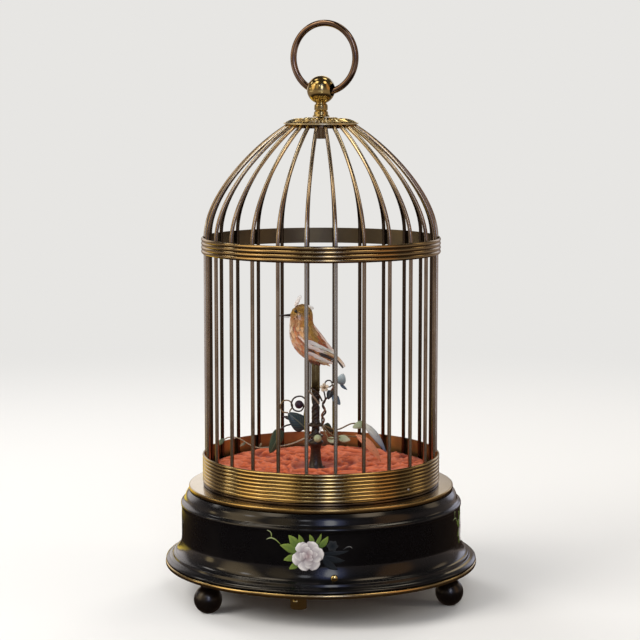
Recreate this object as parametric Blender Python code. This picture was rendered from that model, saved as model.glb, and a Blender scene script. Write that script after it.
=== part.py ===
"""Singing bird automaton in a domed cage, in metres, +Z up, standing on its feet at z = 0.

The front is -Y. Azimuths are measured from the front, positive towards +X.
"""

import math

import bmesh
import bpy
from mathutils import Matrix, Vector, noise

# Clearances
SEAT_GAP = 0.0003
PIVOT_GAP = 0.0003

# Feet
FOOT_BALL_RADIUS = 0.007
FOOT_PAD_RADIUS = 0.0022
FOOT_NECK_RADIUS = 0.0035
FOOT_NECK_HEIGHT = 0.0029
FOOT_INSET = 0.0096
FIRST_FOOT_AZIMUTH = 67.0

# Bottom plate and casing
CASING_BORE_RADIUS = 0.066
CASING_WALL = 0.0047
CASING_SHOULDER = 0.0013
CASING_FLANGE = 0.0081
CASING_HEIGHT = 0.0355
RIM_OVERHANG = 0.0003
RIM_HEIGHT = 0.0025
RIM_ROUNDING = 0.0008
BOTTOM_SHEET = 0.0018
PLATE_RECESS = 0.00125

# Top plate and cage floor
TOP_PLATE_STEP = 0.0003
TOP_PLATE_THICKNESS = 0.0022
TOP_PLATE_ROUNDING = 0.0006
FLOOR_FLANGE_HEIGHT = 0.00085
FLOOR_DRUM_CLEARANCE = 0.00055
FLOOR_DRUM_HEIGHT = 0.0063
CLOTH_THICKNESS = 0.0014
CLOTH_CREASE = 0.0011
CLOTH_RINGS = 5

# Cage
BAR_COUNT = 26
BAR_RADIUS = 0.00095
BAR_CIRCLE_RADIUS = 0.058
BAR_STRAIGHT_LENGTH = 0.1229
DOME_HEIGHT = 0.0562
DOME_TOP_RADIUS = 0.0163
DOME_SHOULDER_PULL = 0.0217
DOME_TOP_PULL = 0.0182
DOME_TOP_TILT = 59.3
DOME_STEPS = 6
BAND_RIDGE = 0.0003
BAND_WALL = 0.0003
LOWER_BAND_RIDGES = 8
LOWER_BAND_HEIGHT = 0.0142
UPPER_BAND_RIDGES = 4
UPPER_BAND_HEIGHT = 0.008
UPPER_BAND_LIFT = 0.1157

# Crown, rosette and finial
CROWN_THICKNESS = 0.0018
CROWN_EDGE = 0.0004
CROWN_BOSS_RADIUS = 0.0025
CROWN_BOSS_HEIGHT = 0.0054
STUD_RADIUS = 0.0016
STUD_FLOOR = 0.001
ROSETTE_RADIUS = 0.0186
ROSETTE_SCALLOP = 0.0007
ROSETTE_LOBES = 16
ROSETTE_THICKNESS = 0.0028
FINIAL_FLARE_RADIUS = 0.00435
FINIAL_COLLAR_RADIUS = 0.0035
FINIAL_WAIST_RADIUS = 0.00275
FINIAL_STEM_HEIGHT = 0.0064
FINIAL_BALL_RADIUS = 0.007
RING_RADIUS = 0.01705
RING_WIRE_RADIUS = 0.0016
RING_TURN = 26.0
RING_SHIFT = 0.0018

# Stand
STAND_X = -0.0027
ROD_RADIUS = 0.0006
TUBE_WALL = 0.0006
TUBE_STEP = 0.00065
TUBE_LENGTH = 0.019
TRUNK_WALL = 0.0005
TRUNK_FLARE = 0.0023
TRUNK_COLLAR_STEP = 0.0017
TRUNK_COLLAR_LIFT = 0.0131
TRUNK_COLLAR_HEIGHT = 0.0012
TRUNK_LENGTH = 0.0396

# Foliage
STEM_RING_RADIUS = 0.0007
LEFT_RING_LIFT = 0.0169
RIGHT_RING_LIFT = 0.0226

# Bird, with its pivots measured from the middle of the perch tube's top
BIRD_NECK = Vector((-0.0069, 0.0, 0.0158))
BEAK_HINGE = Vector((-0.0134, 0.0, 0.0184))
TAIL_HINGE = Vector((0.0097, 0.0, -0.0012))
TAIL_ROOT_RADIUS = 0.0010
TAIL_ROOT_WIDTH = 0.0032
BIRD_SOCKET_DEPTH = 0.0027

# Movement frame
FRAME_EDGE_CLEARANCE = 0.004
FRAME_HALF_WIDTH = 0.036
FRAME_BACK = 0.040
FRAME_FRONT_PILLAR = 0.048
FRAME_SHEET = 0.0015
FRAME_SPACING = 0.0245
PILLAR_RADIUS = 0.0022

# Wheel train
ARBOR_AZIMUTH = -13.74
ARBOR_RADIUS = 0.0022
PIVOT_RADIUS = 0.0009
SHAFT_RADIUS = 0.00126
BARREL_RADIUS = 0.015
BARREL_HEIGHT = 0.014
GREAT_WHEEL_TEETH = 24
GREAT_WHEEL_MODULE = 0.0014
GREAT_WHEEL_CLEARANCE = 0.0019
CAM_PINION_TEETH = 8
CAM_WHEEL_TEETH = 20
CAM_WHEEL_MODULE = 0.0012
DRIVE_PINION_TEETH = 7
DRIVE_WHEEL_TEETH = 16
DRIVE_WHEEL_MODULE = 0.0011
FLY_PINION_TEETH = 6
TRAIN_BEARINGS = (50.0, 15.0, -55.0)
TOOTH_ADDENDUM = 0.7
TOOTH_DEDENDUM = 0.95
WHEEL_SHEET = 0.0018
PINION_OVERLAP = 0.0005
CAM_WHEEL_LIFT = 0.0011
STACK_GAP = 0.0016
DRIVE_WHEEL_GAP = 0.0022
CAM_COUNT = 3
CAM_RADIUS = 0.0066
FLY_RADIUS = 0.008
VANE_LIFT = 0.0055
VANE_HEIGHT = 0.009
VANE_SHEET = 0.0008

# Bellows and whistle
BELLOWS_FRONT = 0.0045
BELLOWS_LENGTH = 0.040
BELLOWS_DEPTH = 0.030
BELLOWS_HEIGHT = 0.008
BELLOWS_WALL = 0.0018
FLAP_OPEN_ANGLE = 12.0
WHISTLE_CLEARANCE = 0.006
WHISTLE_LIFT = 0.0135
WHISTLE_LEFT = -0.030
WHISTLE_RADIUS = 0.0035
WHISTLE_WALL = 0.0013
WHISTLE_LENGTH = 0.036
WHISTLE_BLOCK = 0.003
WHISTLE_FOOT = 0.005
WHISTLE_FOOT_X = 0.006
WHISTLE_MOUTH_X = 0.010
WHISTLE_MOUTH = 0.003
PISTON_INSET = 0.018
PISTON_LENGTH = 0.005
PISTON_REACH = 0.008
PISTON_KNOB = 0.002

# Knob and key
KNOB_X = 0.0063
KNOB_LIFT = 0.0068
KNOB_RADIUS = 0.0017
KNOB_HEAD = 0.0019
KNOB_STEM_RADIUS = 0.0008
KNOB_STEM_REACH = 0.003
KNOB_STANDOFF = 0.0043
KEY_HUB_RADIUS = 0.004
KEY_HUB_ROUNDING = 0.0005
KEY_CLEARANCE = 0.003
KEY_GAP = 0.004
KEY_WING_LIFT = 0.002
KEY_WING_SPAN = 0.011
KEY_WING_THICKNESS = 0.0022
KEY_TURN = 8.0

TURNED_SIDES = 36

# Heights and radii that follow from the sizes
FOOT_CENTRE = math.sqrt(FOOT_BALL_RADIUS**2 - FOOT_PAD_RADIUS**2)
FOOT_NECK_BOTTOM = FOOT_CENTRE + math.sqrt(FOOT_BALL_RADIUS**2 - FOOT_NECK_RADIUS**2)
FOOT_TOP = FOOT_NECK_BOTTOM + FOOT_NECK_HEIGHT
BASE_CLEARANCE = FOOT_TOP + SEAT_GAP
CASING_WALL_RADIUS = CASING_BORE_RADIUS + CASING_WALL
CASING_SHOULDER_RADIUS = CASING_BORE_RADIUS + CASING_SHOULDER
CASING_FLANGE_RADIUS = CASING_WALL_RADIUS + CASING_FLANGE
RIM_RADIUS = CASING_FLANGE_RADIUS + RIM_OVERHANG
FOOT_CIRCLE_RADIUS = RIM_RADIUS - FOOT_INSET
RIM_TOP = BASE_CLEARANCE + RIM_HEIGHT
CASING_BOTTOM = RIM_TOP + SEAT_GAP
CASING_TOP = CASING_BOTTOM + CASING_HEIGHT
TOP_PLATE_RADIUS = CASING_SHOULDER_RADIUS - TOP_PLATE_STEP
PLATE_BOTTOM = CASING_TOP + SEAT_GAP
PLATE_TOP = PLATE_BOTTOM + TOP_PLATE_THICKNESS
FLOOR_BOTTOM = PLATE_TOP + SEAT_GAP
FLANGE_TOP = FLOOR_BOTTOM + FLOOR_FLANGE_HEIGHT
FLOOR_TOP = FLOOR_BOTTOM + FLOOR_DRUM_HEIGHT
FLOOR_DRUM_RADIUS = BAR_CIRCLE_RADIUS - BAR_RADIUS - FLOOR_DRUM_CLEARANCE
CAGE_BOTTOM = FLANGE_TOP + SEAT_GAP
DOME_BOTTOM = CAGE_BOTTOM + BAR_STRAIGHT_LENGTH
DOME_TOP = DOME_BOTTOM + DOME_HEIGHT
BAND_BORE_RADIUS = (BAR_CIRCLE_RADIUS + BAR_RADIUS + SEAT_GAP) / math.cos(math.pi / TURNED_SIDES)
FLOOR_FLANGE_RADIUS = BAND_BORE_RADIUS + BAND_WALL
CROWN_RADIUS = DOME_TOP_RADIUS - BAR_RADIUS * math.cos(math.radians(DOME_TOP_TILT)) - SEAT_GAP
CROWN_TOP = DOME_TOP + BAR_RADIUS * math.sin(math.radians(DOME_TOP_TILT)) - SEAT_GAP / 2
CROWN_BOTTOM = CROWN_TOP - CROWN_THICKNESS
BOSS_BOTTOM = CROWN_BOTTOM - CROWN_BOSS_HEIGHT
ROSETTE_BOTTOM = DOME_TOP + BAR_RADIUS + SEAT_GAP
ROSETTE_TOP = ROSETTE_BOTTOM + ROSETTE_THICKNESS
FINIAL_BOTTOM = ROSETTE_TOP + SEAT_GAP
BALL_HEIGHT = FINIAL_BOTTOM + FINIAL_STEM_HEIGHT + FINIAL_BALL_RADIUS
MOVEMENT_BOTTOM = BASE_CLEARANCE + BOTTOM_SHEET + SEAT_GAP
MOVEMENT_INSIDE = MOVEMENT_BOTTOM + FRAME_SHEET
FRAME_INSIDE_TOP = MOVEMENT_INSIDE + FRAME_SPACING
MOVEMENT_TOP = FRAME_INSIDE_TOP + FRAME_SHEET
GREAT_WHEEL_TIP = (GREAT_WHEEL_TEETH / 2 + TOOTH_ADDENDUM) * GREAT_WHEEL_MODULE
ARBOR_CIRCLE_RADIUS = CASING_BORE_RADIUS - GREAT_WHEEL_TIP - GREAT_WHEEL_CLEARANCE
TUBE_BORE_RADIUS = ROD_RADIUS + PIVOT_GAP
TUBE_SHANK_RADIUS = TUBE_BORE_RADIUS + TUBE_WALL
TUBE_RADIUS = TUBE_SHANK_RADIUS + TUBE_STEP
TRUNK_BORE_RADIUS = TUBE_SHANK_RADIUS + SEAT_GAP
TRUNK_RADIUS = TRUNK_BORE_RADIUS + TRUNK_WALL
TRUNK_FOOT_RADIUS = TRUNK_RADIUS + TRUNK_FLARE
TRUNK_BOTTOM = FLOOR_TOP + SEAT_GAP
TRUNK_TOP = TRUNK_BOTTOM + TRUNK_LENGTH
TUBE_SHOULDER = TRUNK_TOP + SEAT_GAP
TUBE_TOP = TUBE_SHOULDER + TUBE_LENGTH
PERCH = Vector((STAND_X, 0.0, TUBE_TOP))
KNOB_HEIGHT = CASING_BOTTOM + KNOB_LIFT


def clear_scene():
    for old in list(bpy.data.objects):
        bpy.data.objects.remove(old, do_unlink=True)


def finish(name, colour, roughness, metallic):
    """A plain material for one sub-part."""
    material = bpy.data.materials.new(name)
    material.use_nodes = True
    shader = material.node_tree.nodes["Principled BSDF"]
    shader.inputs["Base Color"].default_value = (*colour, 1.0)
    shader.inputs["Roughness"].default_value = roughness
    shader.inputs["Metallic"].default_value = metallic
    return material


BRASS = ((0.72, 0.50, 0.19), 0.28, 1.0)
AGED_BRASS = ((0.46, 0.33, 0.15), 0.35, 1.0)
BRONZE = ((0.20, 0.14, 0.09), 0.35, 1.0)
STEEL = ((0.50, 0.50, 0.52), 0.35, 1.0)
LACQUER = ((0.008, 0.008, 0.009), 0.12, 0.0)
DARK_WOOD = ((0.06, 0.03, 0.02), 0.6, 0.0)
RED_CLOTH = ((0.55, 0.12, 0.05), 0.9, 0.0)
LEAF_GREEN = ((0.08, 0.16, 0.10), 0.5, 0.0)
LEAF_BLUE = ((0.25, 0.36, 0.40), 0.5, 0.0)
FEATHER_GOLD = ((0.45, 0.24, 0.09), 0.9, 0.0)
FEATHER_PALE = ((0.75, 0.60, 0.52), 0.9, 0.0)
BEAK_BLACK = ((0.02, 0.015, 0.015), 0.4, 0.0)
BOARD = ((0.42, 0.30, 0.18), 0.6, 0.0)


def add_mesh(name, bm, look, origin=(0.0, 0.0, 0.0)):
    """Turns a bmesh in world coordinates into an object whose origin is at the given point."""
    bmesh.ops.remove_doubles(bm, verts=bm.verts, dist=1e-6)
    bmesh.ops.recalc_face_normals(bm, faces=bm.faces)
    bmesh.ops.translate(bm, verts=bm.verts, vec=-Vector(origin))
    mesh = bpy.data.meshes.new(name)
    bm.to_mesh(mesh)
    bm.free()
    mesh.shade_smooth()
    mesh.set_sharp_from_angle(angle=math.radians(35))
    item = bpy.data.objects.new(name, mesh)
    item.location = origin
    bpy.context.scene.collection.objects.link(item)
    if look:
        mesh.materials.append(finish(name, *look))
    else:
        item.hide_render = True
        item.display_type = "WIRE"
    return item


def boolean(item, other, operation):
    """Joins another mesh to a piece, or cuts it away."""
    step = item.modifiers.new(operation.lower() + "_" + other.name, "BOOLEAN")
    step.object = other
    step.operation = operation
    step.solver = "EXACT"


def join(item, other):
    boolean(item, other, "UNION")


def cut(item, other):
    boolean(item, other, "DIFFERENCE")


def around(radius, azimuth):
    """A point at an azimuth in degrees from the front."""
    angle = math.radians(azimuth)
    return Vector((radius * math.sin(angle), -radius * math.cos(angle), 0.0))


def arc(radius, height, start, end, steps):
    """Profile points on a ball centred on the axis, from one elevation in degrees to another."""
    angles = [math.radians(start + (end - start) * k / steps) for k in range(steps + 1)]
    return [(radius * math.cos(a), height + radius * math.sin(a)) for a in angles]


def turn(profile, sides):
    """Spins (radius, height) points about Z. A profile that stays off the axis is closed into a ring."""
    bm = bmesh.new()
    verts = [bm.verts.new((max(radius, 0.0), 0.0, height)) for radius, height in profile]
    edges = [bm.edges.new(pair) for pair in zip(verts, verts[1:])]
    if profile[0][0] > 0 and profile[-1][0] > 0:
        edges.append(bm.edges.new((verts[-1], verts[0])))
    bmesh.ops.spin(
        bm, geom=verts + edges, cent=(0, 0, 0), axis=(0, 0, 1), angle=math.tau, steps=sides, use_merge=True
    )
    bmesh.ops.remove_doubles(bm, verts=bm.verts, dist=1e-7)
    return bm


def cylinder(radius, bottom, top, sides, centre=(0.0, 0.0)):
    bm = turn([(0, bottom), (radius, bottom), (radius, top), (0, top)], sides)
    bmesh.ops.translate(bm, verts=bm.verts, vec=(centre[0], centre[1], 0))
    return bm


def place(bm, direction, centre):
    """Turns a shape made along Z into a direction and moves it."""
    turn_to = Vector((0, 0, 1)).rotation_difference(Vector(direction).normalized()).to_matrix().to_4x4()
    bmesh.ops.transform(bm, matrix=Matrix.Translation(centre) @ turn_to, verts=bm.verts)
    return bm


def loft(stations, facing, sides, origin, ends=(None, None)):
    """Skins oval sections (x, y, z, half width, half thickness); the thickness faces one direction."""
    bm = bmesh.new()
    points = [origin + Vector(station[:3]) for station in stations]
    rings = []
    for k, (centre, station) in enumerate(zip(points, stations)):
        along = points[min(k + 1, len(points) - 1)] - points[max(k - 1, 0)]
        if k == 0 and ends[0]:
            along = Vector(ends[0])
        if k == len(points) - 1 and ends[1]:
            along = Vector(ends[1])
        across = along.cross(Vector(facing)).normalized() * station[3]
        through = across.cross(along).normalized() * station[4]
        ring = []
        for step in range(sides):
            angle = math.tau * step / sides
            ring.append(bm.verts.new(centre + across * math.cos(angle) + through * math.sin(angle)))
        rings.append([bm.edges.new((ring[j], ring[(j + 1) % sides])) for j in range(sides)])
        if k in (0, len(points) - 1):
            bm.faces.new(ring)
        if k:
            bmesh.ops.bridge_loops(bm, edges=rings[-2] + rings[-1])
    return bm


def prism(outline, bottom, top):
    """Extrudes a closed outline in XY."""
    bm = bmesh.new()
    face = bm.faces.new([bm.verts.new((x, y, bottom)) for x, y in outline])
    grown = bmesh.ops.extrude_face_region(bm, geom=[face])["geom"]
    upper = [part for part in grown if isinstance(part, bmesh.types.BMVert)]
    bmesh.ops.translate(bm, verts=upper, vec=(0, 0, top - bottom))
    return bm


def box(size, centre):
    bm = bmesh.new()
    bmesh.ops.create_cube(bm, size=1.0, matrix=Matrix.Translation(centre) @ Matrix.Diagonal((*size, 1.0)))
    return bm


def feet():
    """Three ball feet with a flat pad below and a neck up to the base."""
    low = -math.degrees(math.acos(FOOT_PAD_RADIUS / FOOT_BALL_RADIUS))
    high = math.degrees(math.acos(FOOT_NECK_RADIUS / FOOT_BALL_RADIUS))
    profile = [(0, 0)] + arc(FOOT_BALL_RADIUS, FOOT_CENTRE, low, high, 6)
    profile += [(FOOT_NECK_RADIUS, FOOT_TOP), (0, FOOT_TOP)]
    for k, side in enumerate(("right", "back", "left")):
        spot = around(FOOT_CIRCLE_RADIUS, FIRST_FOOT_AZIMUTH + 120 * k)
        bm = turn(profile, 12)
        bmesh.ops.translate(bm, verts=bm.verts, vec=spot)
        add_mesh("foot_" + side, bm, DARK_WOOD, spot)


def arbor_hole(bottom, top, radius):
    """Cutter for the hole that the winding arbor runs in."""
    spot = around(ARBOR_CIRCLE_RADIUS, ARBOR_AZIMUTH)
    return add_mesh("arbor_hole", cylinder(radius, bottom, top, 12, spot), None)


def base():
    """Bottom plate with its rounded rim, and the turned casing ring that stands on it."""
    seat = CASING_BORE_RADIUS + PLATE_RECESS
    inner = BASE_CLEARANCE + BOTTOM_SHEET
    profile = [
        (0, BASE_CLEARANCE),
        (RIM_RADIUS - RIM_ROUNDING, BASE_CLEARANCE),
        (RIM_RADIUS, BASE_CLEARANCE + RIM_ROUNDING),
        (RIM_RADIUS, RIM_TOP - RIM_ROUNDING),
        (RIM_RADIUS - RIM_ROUNDING, RIM_TOP),
        (seat, RIM_TOP),
        (seat, inner),
        (0, inner),
    ]
    plate = add_mesh("bottom_plate", turn(profile, TURNED_SIDES), BRASS)
    cut(plate, arbor_hole(0, CASING_BOTTOM, ARBOR_RADIUS + PIVOT_GAP))

    wall, flange, low, high = CASING_WALL_RADIUS, CASING_FLANGE_RADIUS, CASING_BOTTOM, CASING_TOP
    outline = [
        (CASING_BORE_RADIUS, low),
        (flange, low),
        (flange, low + 0.0005),
        (flange - 0.0010, low + 0.0016),
        (flange - 0.0030, low + 0.0022),
        (wall + 0.0047, low + 0.0028),
        (wall + 0.0043, low + 0.0038),
        (wall + 0.0027, low + 0.0042),
        (wall + 0.0017, low + 0.0055),
        (wall + 0.0008, low + 0.0075),
        (wall, low + 0.0105),
        (wall, high - 0.0082),
        (wall + 0.0003, high - 0.0069),
        (wall + 0.0001, high - 0.0060),
        (wall - 0.0013, high - 0.0052),
        ((wall + CASING_SHOULDER_RADIUS) / 2 - 0.0002, high - 0.0022),
        (CASING_SHOULDER_RADIUS - 0.0004, high),
        (CASING_BORE_RADIUS, high),
    ]
    casing = add_mesh("base_casing", turn(outline, TURNED_SIDES), LACQUER)
    stem_hole = cylinder(KNOB_STEM_RADIUS + PIVOT_GAP, 0, RIM_RADIUS, 10)
    place(stem_hole, (0, -1, 0), (KNOB_X, 0, KNOB_HEIGHT))
    cut(casing, add_mesh("stem_hole", stem_hole, None))


def knob():
    """Start and stop knob: a domed button on a stem that runs through the casing wall."""
    back = math.sqrt(CASING_WALL_RADIUS**2 - KNOB_X**2) + KNOB_STANDOFF
    inner_end = CASING_BORE_RADIUS - KNOB_STEM_REACH
    profile = [
        (0, inner_end),
        (KNOB_STEM_RADIUS, inner_end),
        (KNOB_STEM_RADIUS, back),
        (KNOB_RADIUS, back),
        (KNOB_RADIUS, back + KNOB_HEAD * 0.42),
        (KNOB_RADIUS * 0.75, back + KNOB_HEAD * 0.79),
        (0, back + KNOB_HEAD),
    ]
    bm = place(turn(profile, 12), (0, -1, 0), (KNOB_X, 0, KNOB_HEIGHT))
    add_mesh("start_knob", bm, BRASS, (KNOB_X, -back, KNOB_HEIGHT))


def winding_key():
    """Key with a round hub and two wings, in one piece with the arbor that it turns."""
    spot = around(ARBOR_CIRCLE_RADIUS, ARBOR_AZIMUTH)
    hub_top = BASE_CLEARANCE - KEY_GAP
    profile = [
        (0, KEY_CLEARANCE),
        (KEY_HUB_RADIUS - KEY_HUB_ROUNDING, KEY_CLEARANCE),
        (KEY_HUB_RADIUS, KEY_CLEARANCE + KEY_HUB_ROUNDING),
        (KEY_HUB_RADIUS, hub_top - KEY_HUB_ROUNDING),
        (KEY_HUB_RADIUS - KEY_HUB_ROUNDING, hub_top),
        (ARBOR_RADIUS, hub_top),
        (ARBOR_RADIUS, FRAME_INSIDE_TOP - SEAT_GAP),
        (PIVOT_RADIUS, FRAME_INSIDE_TOP - SEAT_GAP),
        (PIVOT_RADIUS, MOVEMENT_TOP),
        (0, MOVEMENT_TOP),
    ]
    bm = turn(profile, 16)
    bmesh.ops.translate(bm, verts=bm.verts, vec=spot)
    key = add_mesh("winding_key", bm, BRASS, spot)
    low = KEY_CLEARANCE + KEY_WING_LIFT
    middle, half = (low + hub_top) / 2, (hub_top - low) / 2
    reach = KEY_WING_SPAN - half
    outline = []
    for k in range(7):
        angle = math.radians(-90 + 30 * k)
        outline.append((reach + half * math.cos(angle), half * math.sin(angle)))
    outline += [(-x, -y) for x, y in outline]
    wings = prism(outline, -KEY_WING_THICKNESS / 2, KEY_WING_THICKNESS / 2)
    stand_up = Matrix.Rotation(math.radians(90), 4, "X")
    swing = Matrix.Rotation(math.radians(90 - KEY_TURN), 4, "Z")
    move = Matrix.Translation(spot + Vector((0, 0, middle)))
    bmesh.ops.transform(wings, matrix=move @ swing @ stand_up, verts=wings.verts)
    join(key, add_mesh("key_wings", wings, None))


def floor():
    """Top plate, the drum that carries the floor, and the creased cloth on it."""
    edge = TOP_PLATE_ROUNDING
    plate = turn(
        [
            (0, PLATE_BOTTOM),
            (TOP_PLATE_RADIUS - edge, PLATE_BOTTOM),
            (TOP_PLATE_RADIUS, PLATE_BOTTOM + edge),
            (TOP_PLATE_RADIUS, PLATE_TOP - edge),
            (TOP_PLATE_RADIUS - edge, PLATE_TOP),
            (0, PLATE_TOP),
        ],
        TURNED_SIDES,
    )
    drum = turn(
        [
            (0, FLOOR_BOTTOM),
            (FLOOR_FLANGE_RADIUS, FLOOR_BOTTOM),
            (FLOOR_FLANGE_RADIUS, FLANGE_TOP),
            (FLOOR_DRUM_RADIUS, FLANGE_TOP),
            (FLOOR_DRUM_RADIUS, FLOOR_TOP),
            (0, FLOOR_TOP),
        ],
        TURNED_SIDES,
    )
    pieces = [add_mesh("top_plate", plate, BRASS), add_mesh("cage_floor", drum, BRONZE)]
    hole = cylinder(TRUNK_BORE_RADIUS, MOVEMENT_TOP, TRUNK_TOP, 12, (STAND_X, 0))
    shank_hole = add_mesh("shank_hole", hole, None)
    for piece in pieces:
        cut(piece, shank_hole)

    inner, outer = TRUNK_FOOT_RADIUS + SEAT_GAP, FLOOR_DRUM_RADIUS - SEAT_GAP
    low = FLOOR_TOP + SEAT_GAP
    high = low + CLOTH_THICKNESS
    profile = [(inner, low)]
    profile += [(inner + (outer - inner) * k / CLOTH_RINGS, high) for k in range(CLOTH_RINGS + 1)]
    profile += [(outer, low)]
    bm = turn(profile, 28)
    for vert in bm.verts:
        radius = math.hypot(vert.co.x, vert.co.y)
        share = (radius - inner) / (outer - inner)
        if vert.co.z > low + CLOTH_THICKNESS / 2:
            vert.co.z += CLOTH_CREASE * (0.5 + noise.noise(vert.co * 90)) * min(1.0, 4 * share)
        vert.co.x += STAND_X * (1 - share)
    add_mesh("floor_cloth", bm, RED_CLOTH)


def band(name, bottom, height, ridges):
    """Ribbed band: a thin wall with turned ridges outside the bars."""
    valley = BAND_BORE_RADIUS + BAND_WALL
    pitch = height / ridges
    profile = [(BAND_BORE_RADIUS, bottom), (valley, bottom)]
    for k in range(ridges):
        profile.append((valley + BAND_RIDGE, bottom + pitch * (k + 0.5)))
        profile.append((valley, bottom + pitch * (k + 1)))
    profile.append((BAND_BORE_RADIUS, bottom + height))
    add_mesh(name, turn(profile, TURNED_SIDES), BRASS)


def bar_path():
    """Half section of the cage: a straight stretch, then a curve over the dome."""
    tilt = math.radians(DOME_TOP_TILT)
    start = Vector((BAR_CIRCLE_RADIUS, DOME_BOTTOM))
    end = Vector((DOME_TOP_RADIUS, DOME_TOP))
    pull_up = start + Vector((0, DOME_SHOULDER_PULL))
    pull_back = end + Vector((math.sin(tilt), -math.cos(tilt))) * DOME_TOP_PULL
    points = [(BAR_CIRCLE_RADIUS, CAGE_BOTTOM)]
    for k in range(DOME_STEPS + 1):
        t = k / DOME_STEPS
        s = 1 - t
        point = s**3 * start + 3 * s * s * t * pull_up + 3 * s * t * t * pull_back + t**3 * end
        points.append(tuple(point))
    return points


def cage_bars():
    """Bent rods, evenly spaced, with the front between two of them."""
    curve = bpy.data.curves.new("cage_bar", "CURVE")
    curve.dimensions = "3D"
    curve.bevel_depth = BAR_RADIUS
    curve.bevel_resolution = 1
    curve.use_fill_caps = True
    curve.render_resolution_u = 0
    points = bar_path()
    spline = curve.splines.new("POLY")
    spline.points.add(len(points) - 1)
    for spot, (radius, height) in zip(spline.points, points):
        spot.co = (radius, 0, height, 1)
    curve.materials.append(finish("cage_bar", *AGED_BRASS))
    for k in range(BAR_COUNT):
        bar = bpy.data.objects.new("cage_bar_%02d" % (k + 1), curve)
        bar.rotation_euler.z = math.tau * (k + 0.5) / BAR_COUNT - math.pi / 2
        bpy.context.scene.collection.objects.link(bar)


def crown():
    """Disc that the bars end on, with a boss tapped for the finial, and the scalloped rosette above."""
    bore = STUD_RADIUS + SEAT_GAP
    profile = [
        (0, BOSS_BOTTOM),
        (CROWN_BOSS_RADIUS, BOSS_BOTTOM),
        (CROWN_BOSS_RADIUS, CROWN_BOTTOM),
        (CROWN_RADIUS - CROWN_EDGE, CROWN_BOTTOM),
        (CROWN_RADIUS, CROWN_BOTTOM + CROWN_EDGE),
        (CROWN_RADIUS, CROWN_TOP - CROWN_EDGE),
        (CROWN_RADIUS - CROWN_EDGE, CROWN_TOP),
        (bore, CROWN_TOP),
        (bore, BOSS_BOTTOM + STUD_FLOOR),
        (0, BOSS_BOTTOM + STUD_FLOOR),
    ]
    add_mesh("crown_disc", turn(profile, 20), AGED_BRASS)

    radius, low, high = ROSETTE_RADIUS, ROSETTE_BOTTOM, ROSETTE_TOP
    drop = BAR_RADIUS / 2
    profile = [
        (bore, low),
        (radius - 0.0021, low),
        (radius, low - drop),
        (radius, low - drop + 0.0007),
        (radius * 0.86, low + ROSETTE_THICKNESS * 0.36),
        (radius * 0.55, low + ROSETTE_THICKNESS * 0.72),
        (FINIAL_FLARE_RADIUS, high),
        (bore, high),
    ]
    bm = turn(profile, 2 * ROSETTE_LOBES)
    for vert in bm.verts:
        reach = math.hypot(vert.co.x, vert.co.y)
        if reach > radius * 0.8:
            lobe = 0.5 - 0.5 * math.cos(ROSETTE_LOBES * math.atan2(vert.co.y, vert.co.x))
            shrink = 1 - ROSETTE_SCALLOP * lobe / reach
            vert.co.x *= shrink
            vert.co.y *= shrink
    add_mesh("rosette", bm, BRASS)


def finial_and_ring():
    """Turned ball finial with a cross hole, and the wire ring that swings in the hole."""
    low = FINIAL_BOTTOM
    stem = FINIAL_STEM_HEIGHT
    neck = FINIAL_WAIST_RADIUS * 1.05
    start = -math.degrees(math.acos(neck / FINIAL_BALL_RADIUS))
    stud_end = BOSS_BOTTOM + STUD_FLOOR + SEAT_GAP
    profile = [
        (0, stud_end),
        (STUD_RADIUS, stud_end),
        (STUD_RADIUS, low),
        (FINIAL_FLARE_RADIUS, low),
        (FINIAL_FLARE_RADIUS * 0.96, low + stem * 0.09),
        (FINIAL_COLLAR_RADIUS, low + stem * 0.16),
        (FINIAL_COLLAR_RADIUS, low + stem * 0.42),
        (FINIAL_WAIST_RADIUS, low + stem * 0.46),
        (FINIAL_COLLAR_RADIUS * 0.94, low + stem * 0.52),
        (FINIAL_COLLAR_RADIUS * 0.94, low + stem * 0.94),
    ]
    profile += arc(FINIAL_BALL_RADIUS, BALL_HEIGHT, start, 90, 8)
    finial = add_mesh("finial", turn(profile, 16), BRASS)

    turned = math.radians(RING_TURN)
    along = Vector((math.cos(turned), -math.sin(turned), 0))
    reach = math.sqrt(RING_RADIUS**2 - (FINIAL_BALL_RADIUS + RING_SHIFT) ** 2)
    rise = (RING_RADIUS - reach) / 2
    half, hole_radius = 2 * FINIAL_BALL_RADIUS, RING_WIRE_RADIUS + rise + PIVOT_GAP
    hole = cylinder(hole_radius, -half, half, 16)
    place(hole, along, (0, 0, BALL_HEIGHT))
    cut(finial, add_mesh("ring_hole", hole, None))

    centre = Vector((0, 0, BALL_HEIGHT - rise + RING_RADIUS)) + along * RING_SHIFT
    bm = bmesh.new()
    circle = bmesh.ops.create_circle(
        bm, segments=8, radius=RING_WIRE_RADIUS, matrix=Matrix.Translation((RING_RADIUS, 0, 0))
        @ Matrix.Rotation(math.pi / 2, 4, "X")
    )
    bmesh.ops.spin(
        bm, geom=circle["verts"] + list(bm.edges), cent=(0, 0, 0), axis=(0, 0, 1), angle=math.tau,
        steps=32, use_merge=True
    )
    place(bm, (math.sin(turned), math.cos(turned), 0), centre)
    add_mesh("suspension_ring", bm, BRONZE, (0, 0, BALL_HEIGHT))


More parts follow.
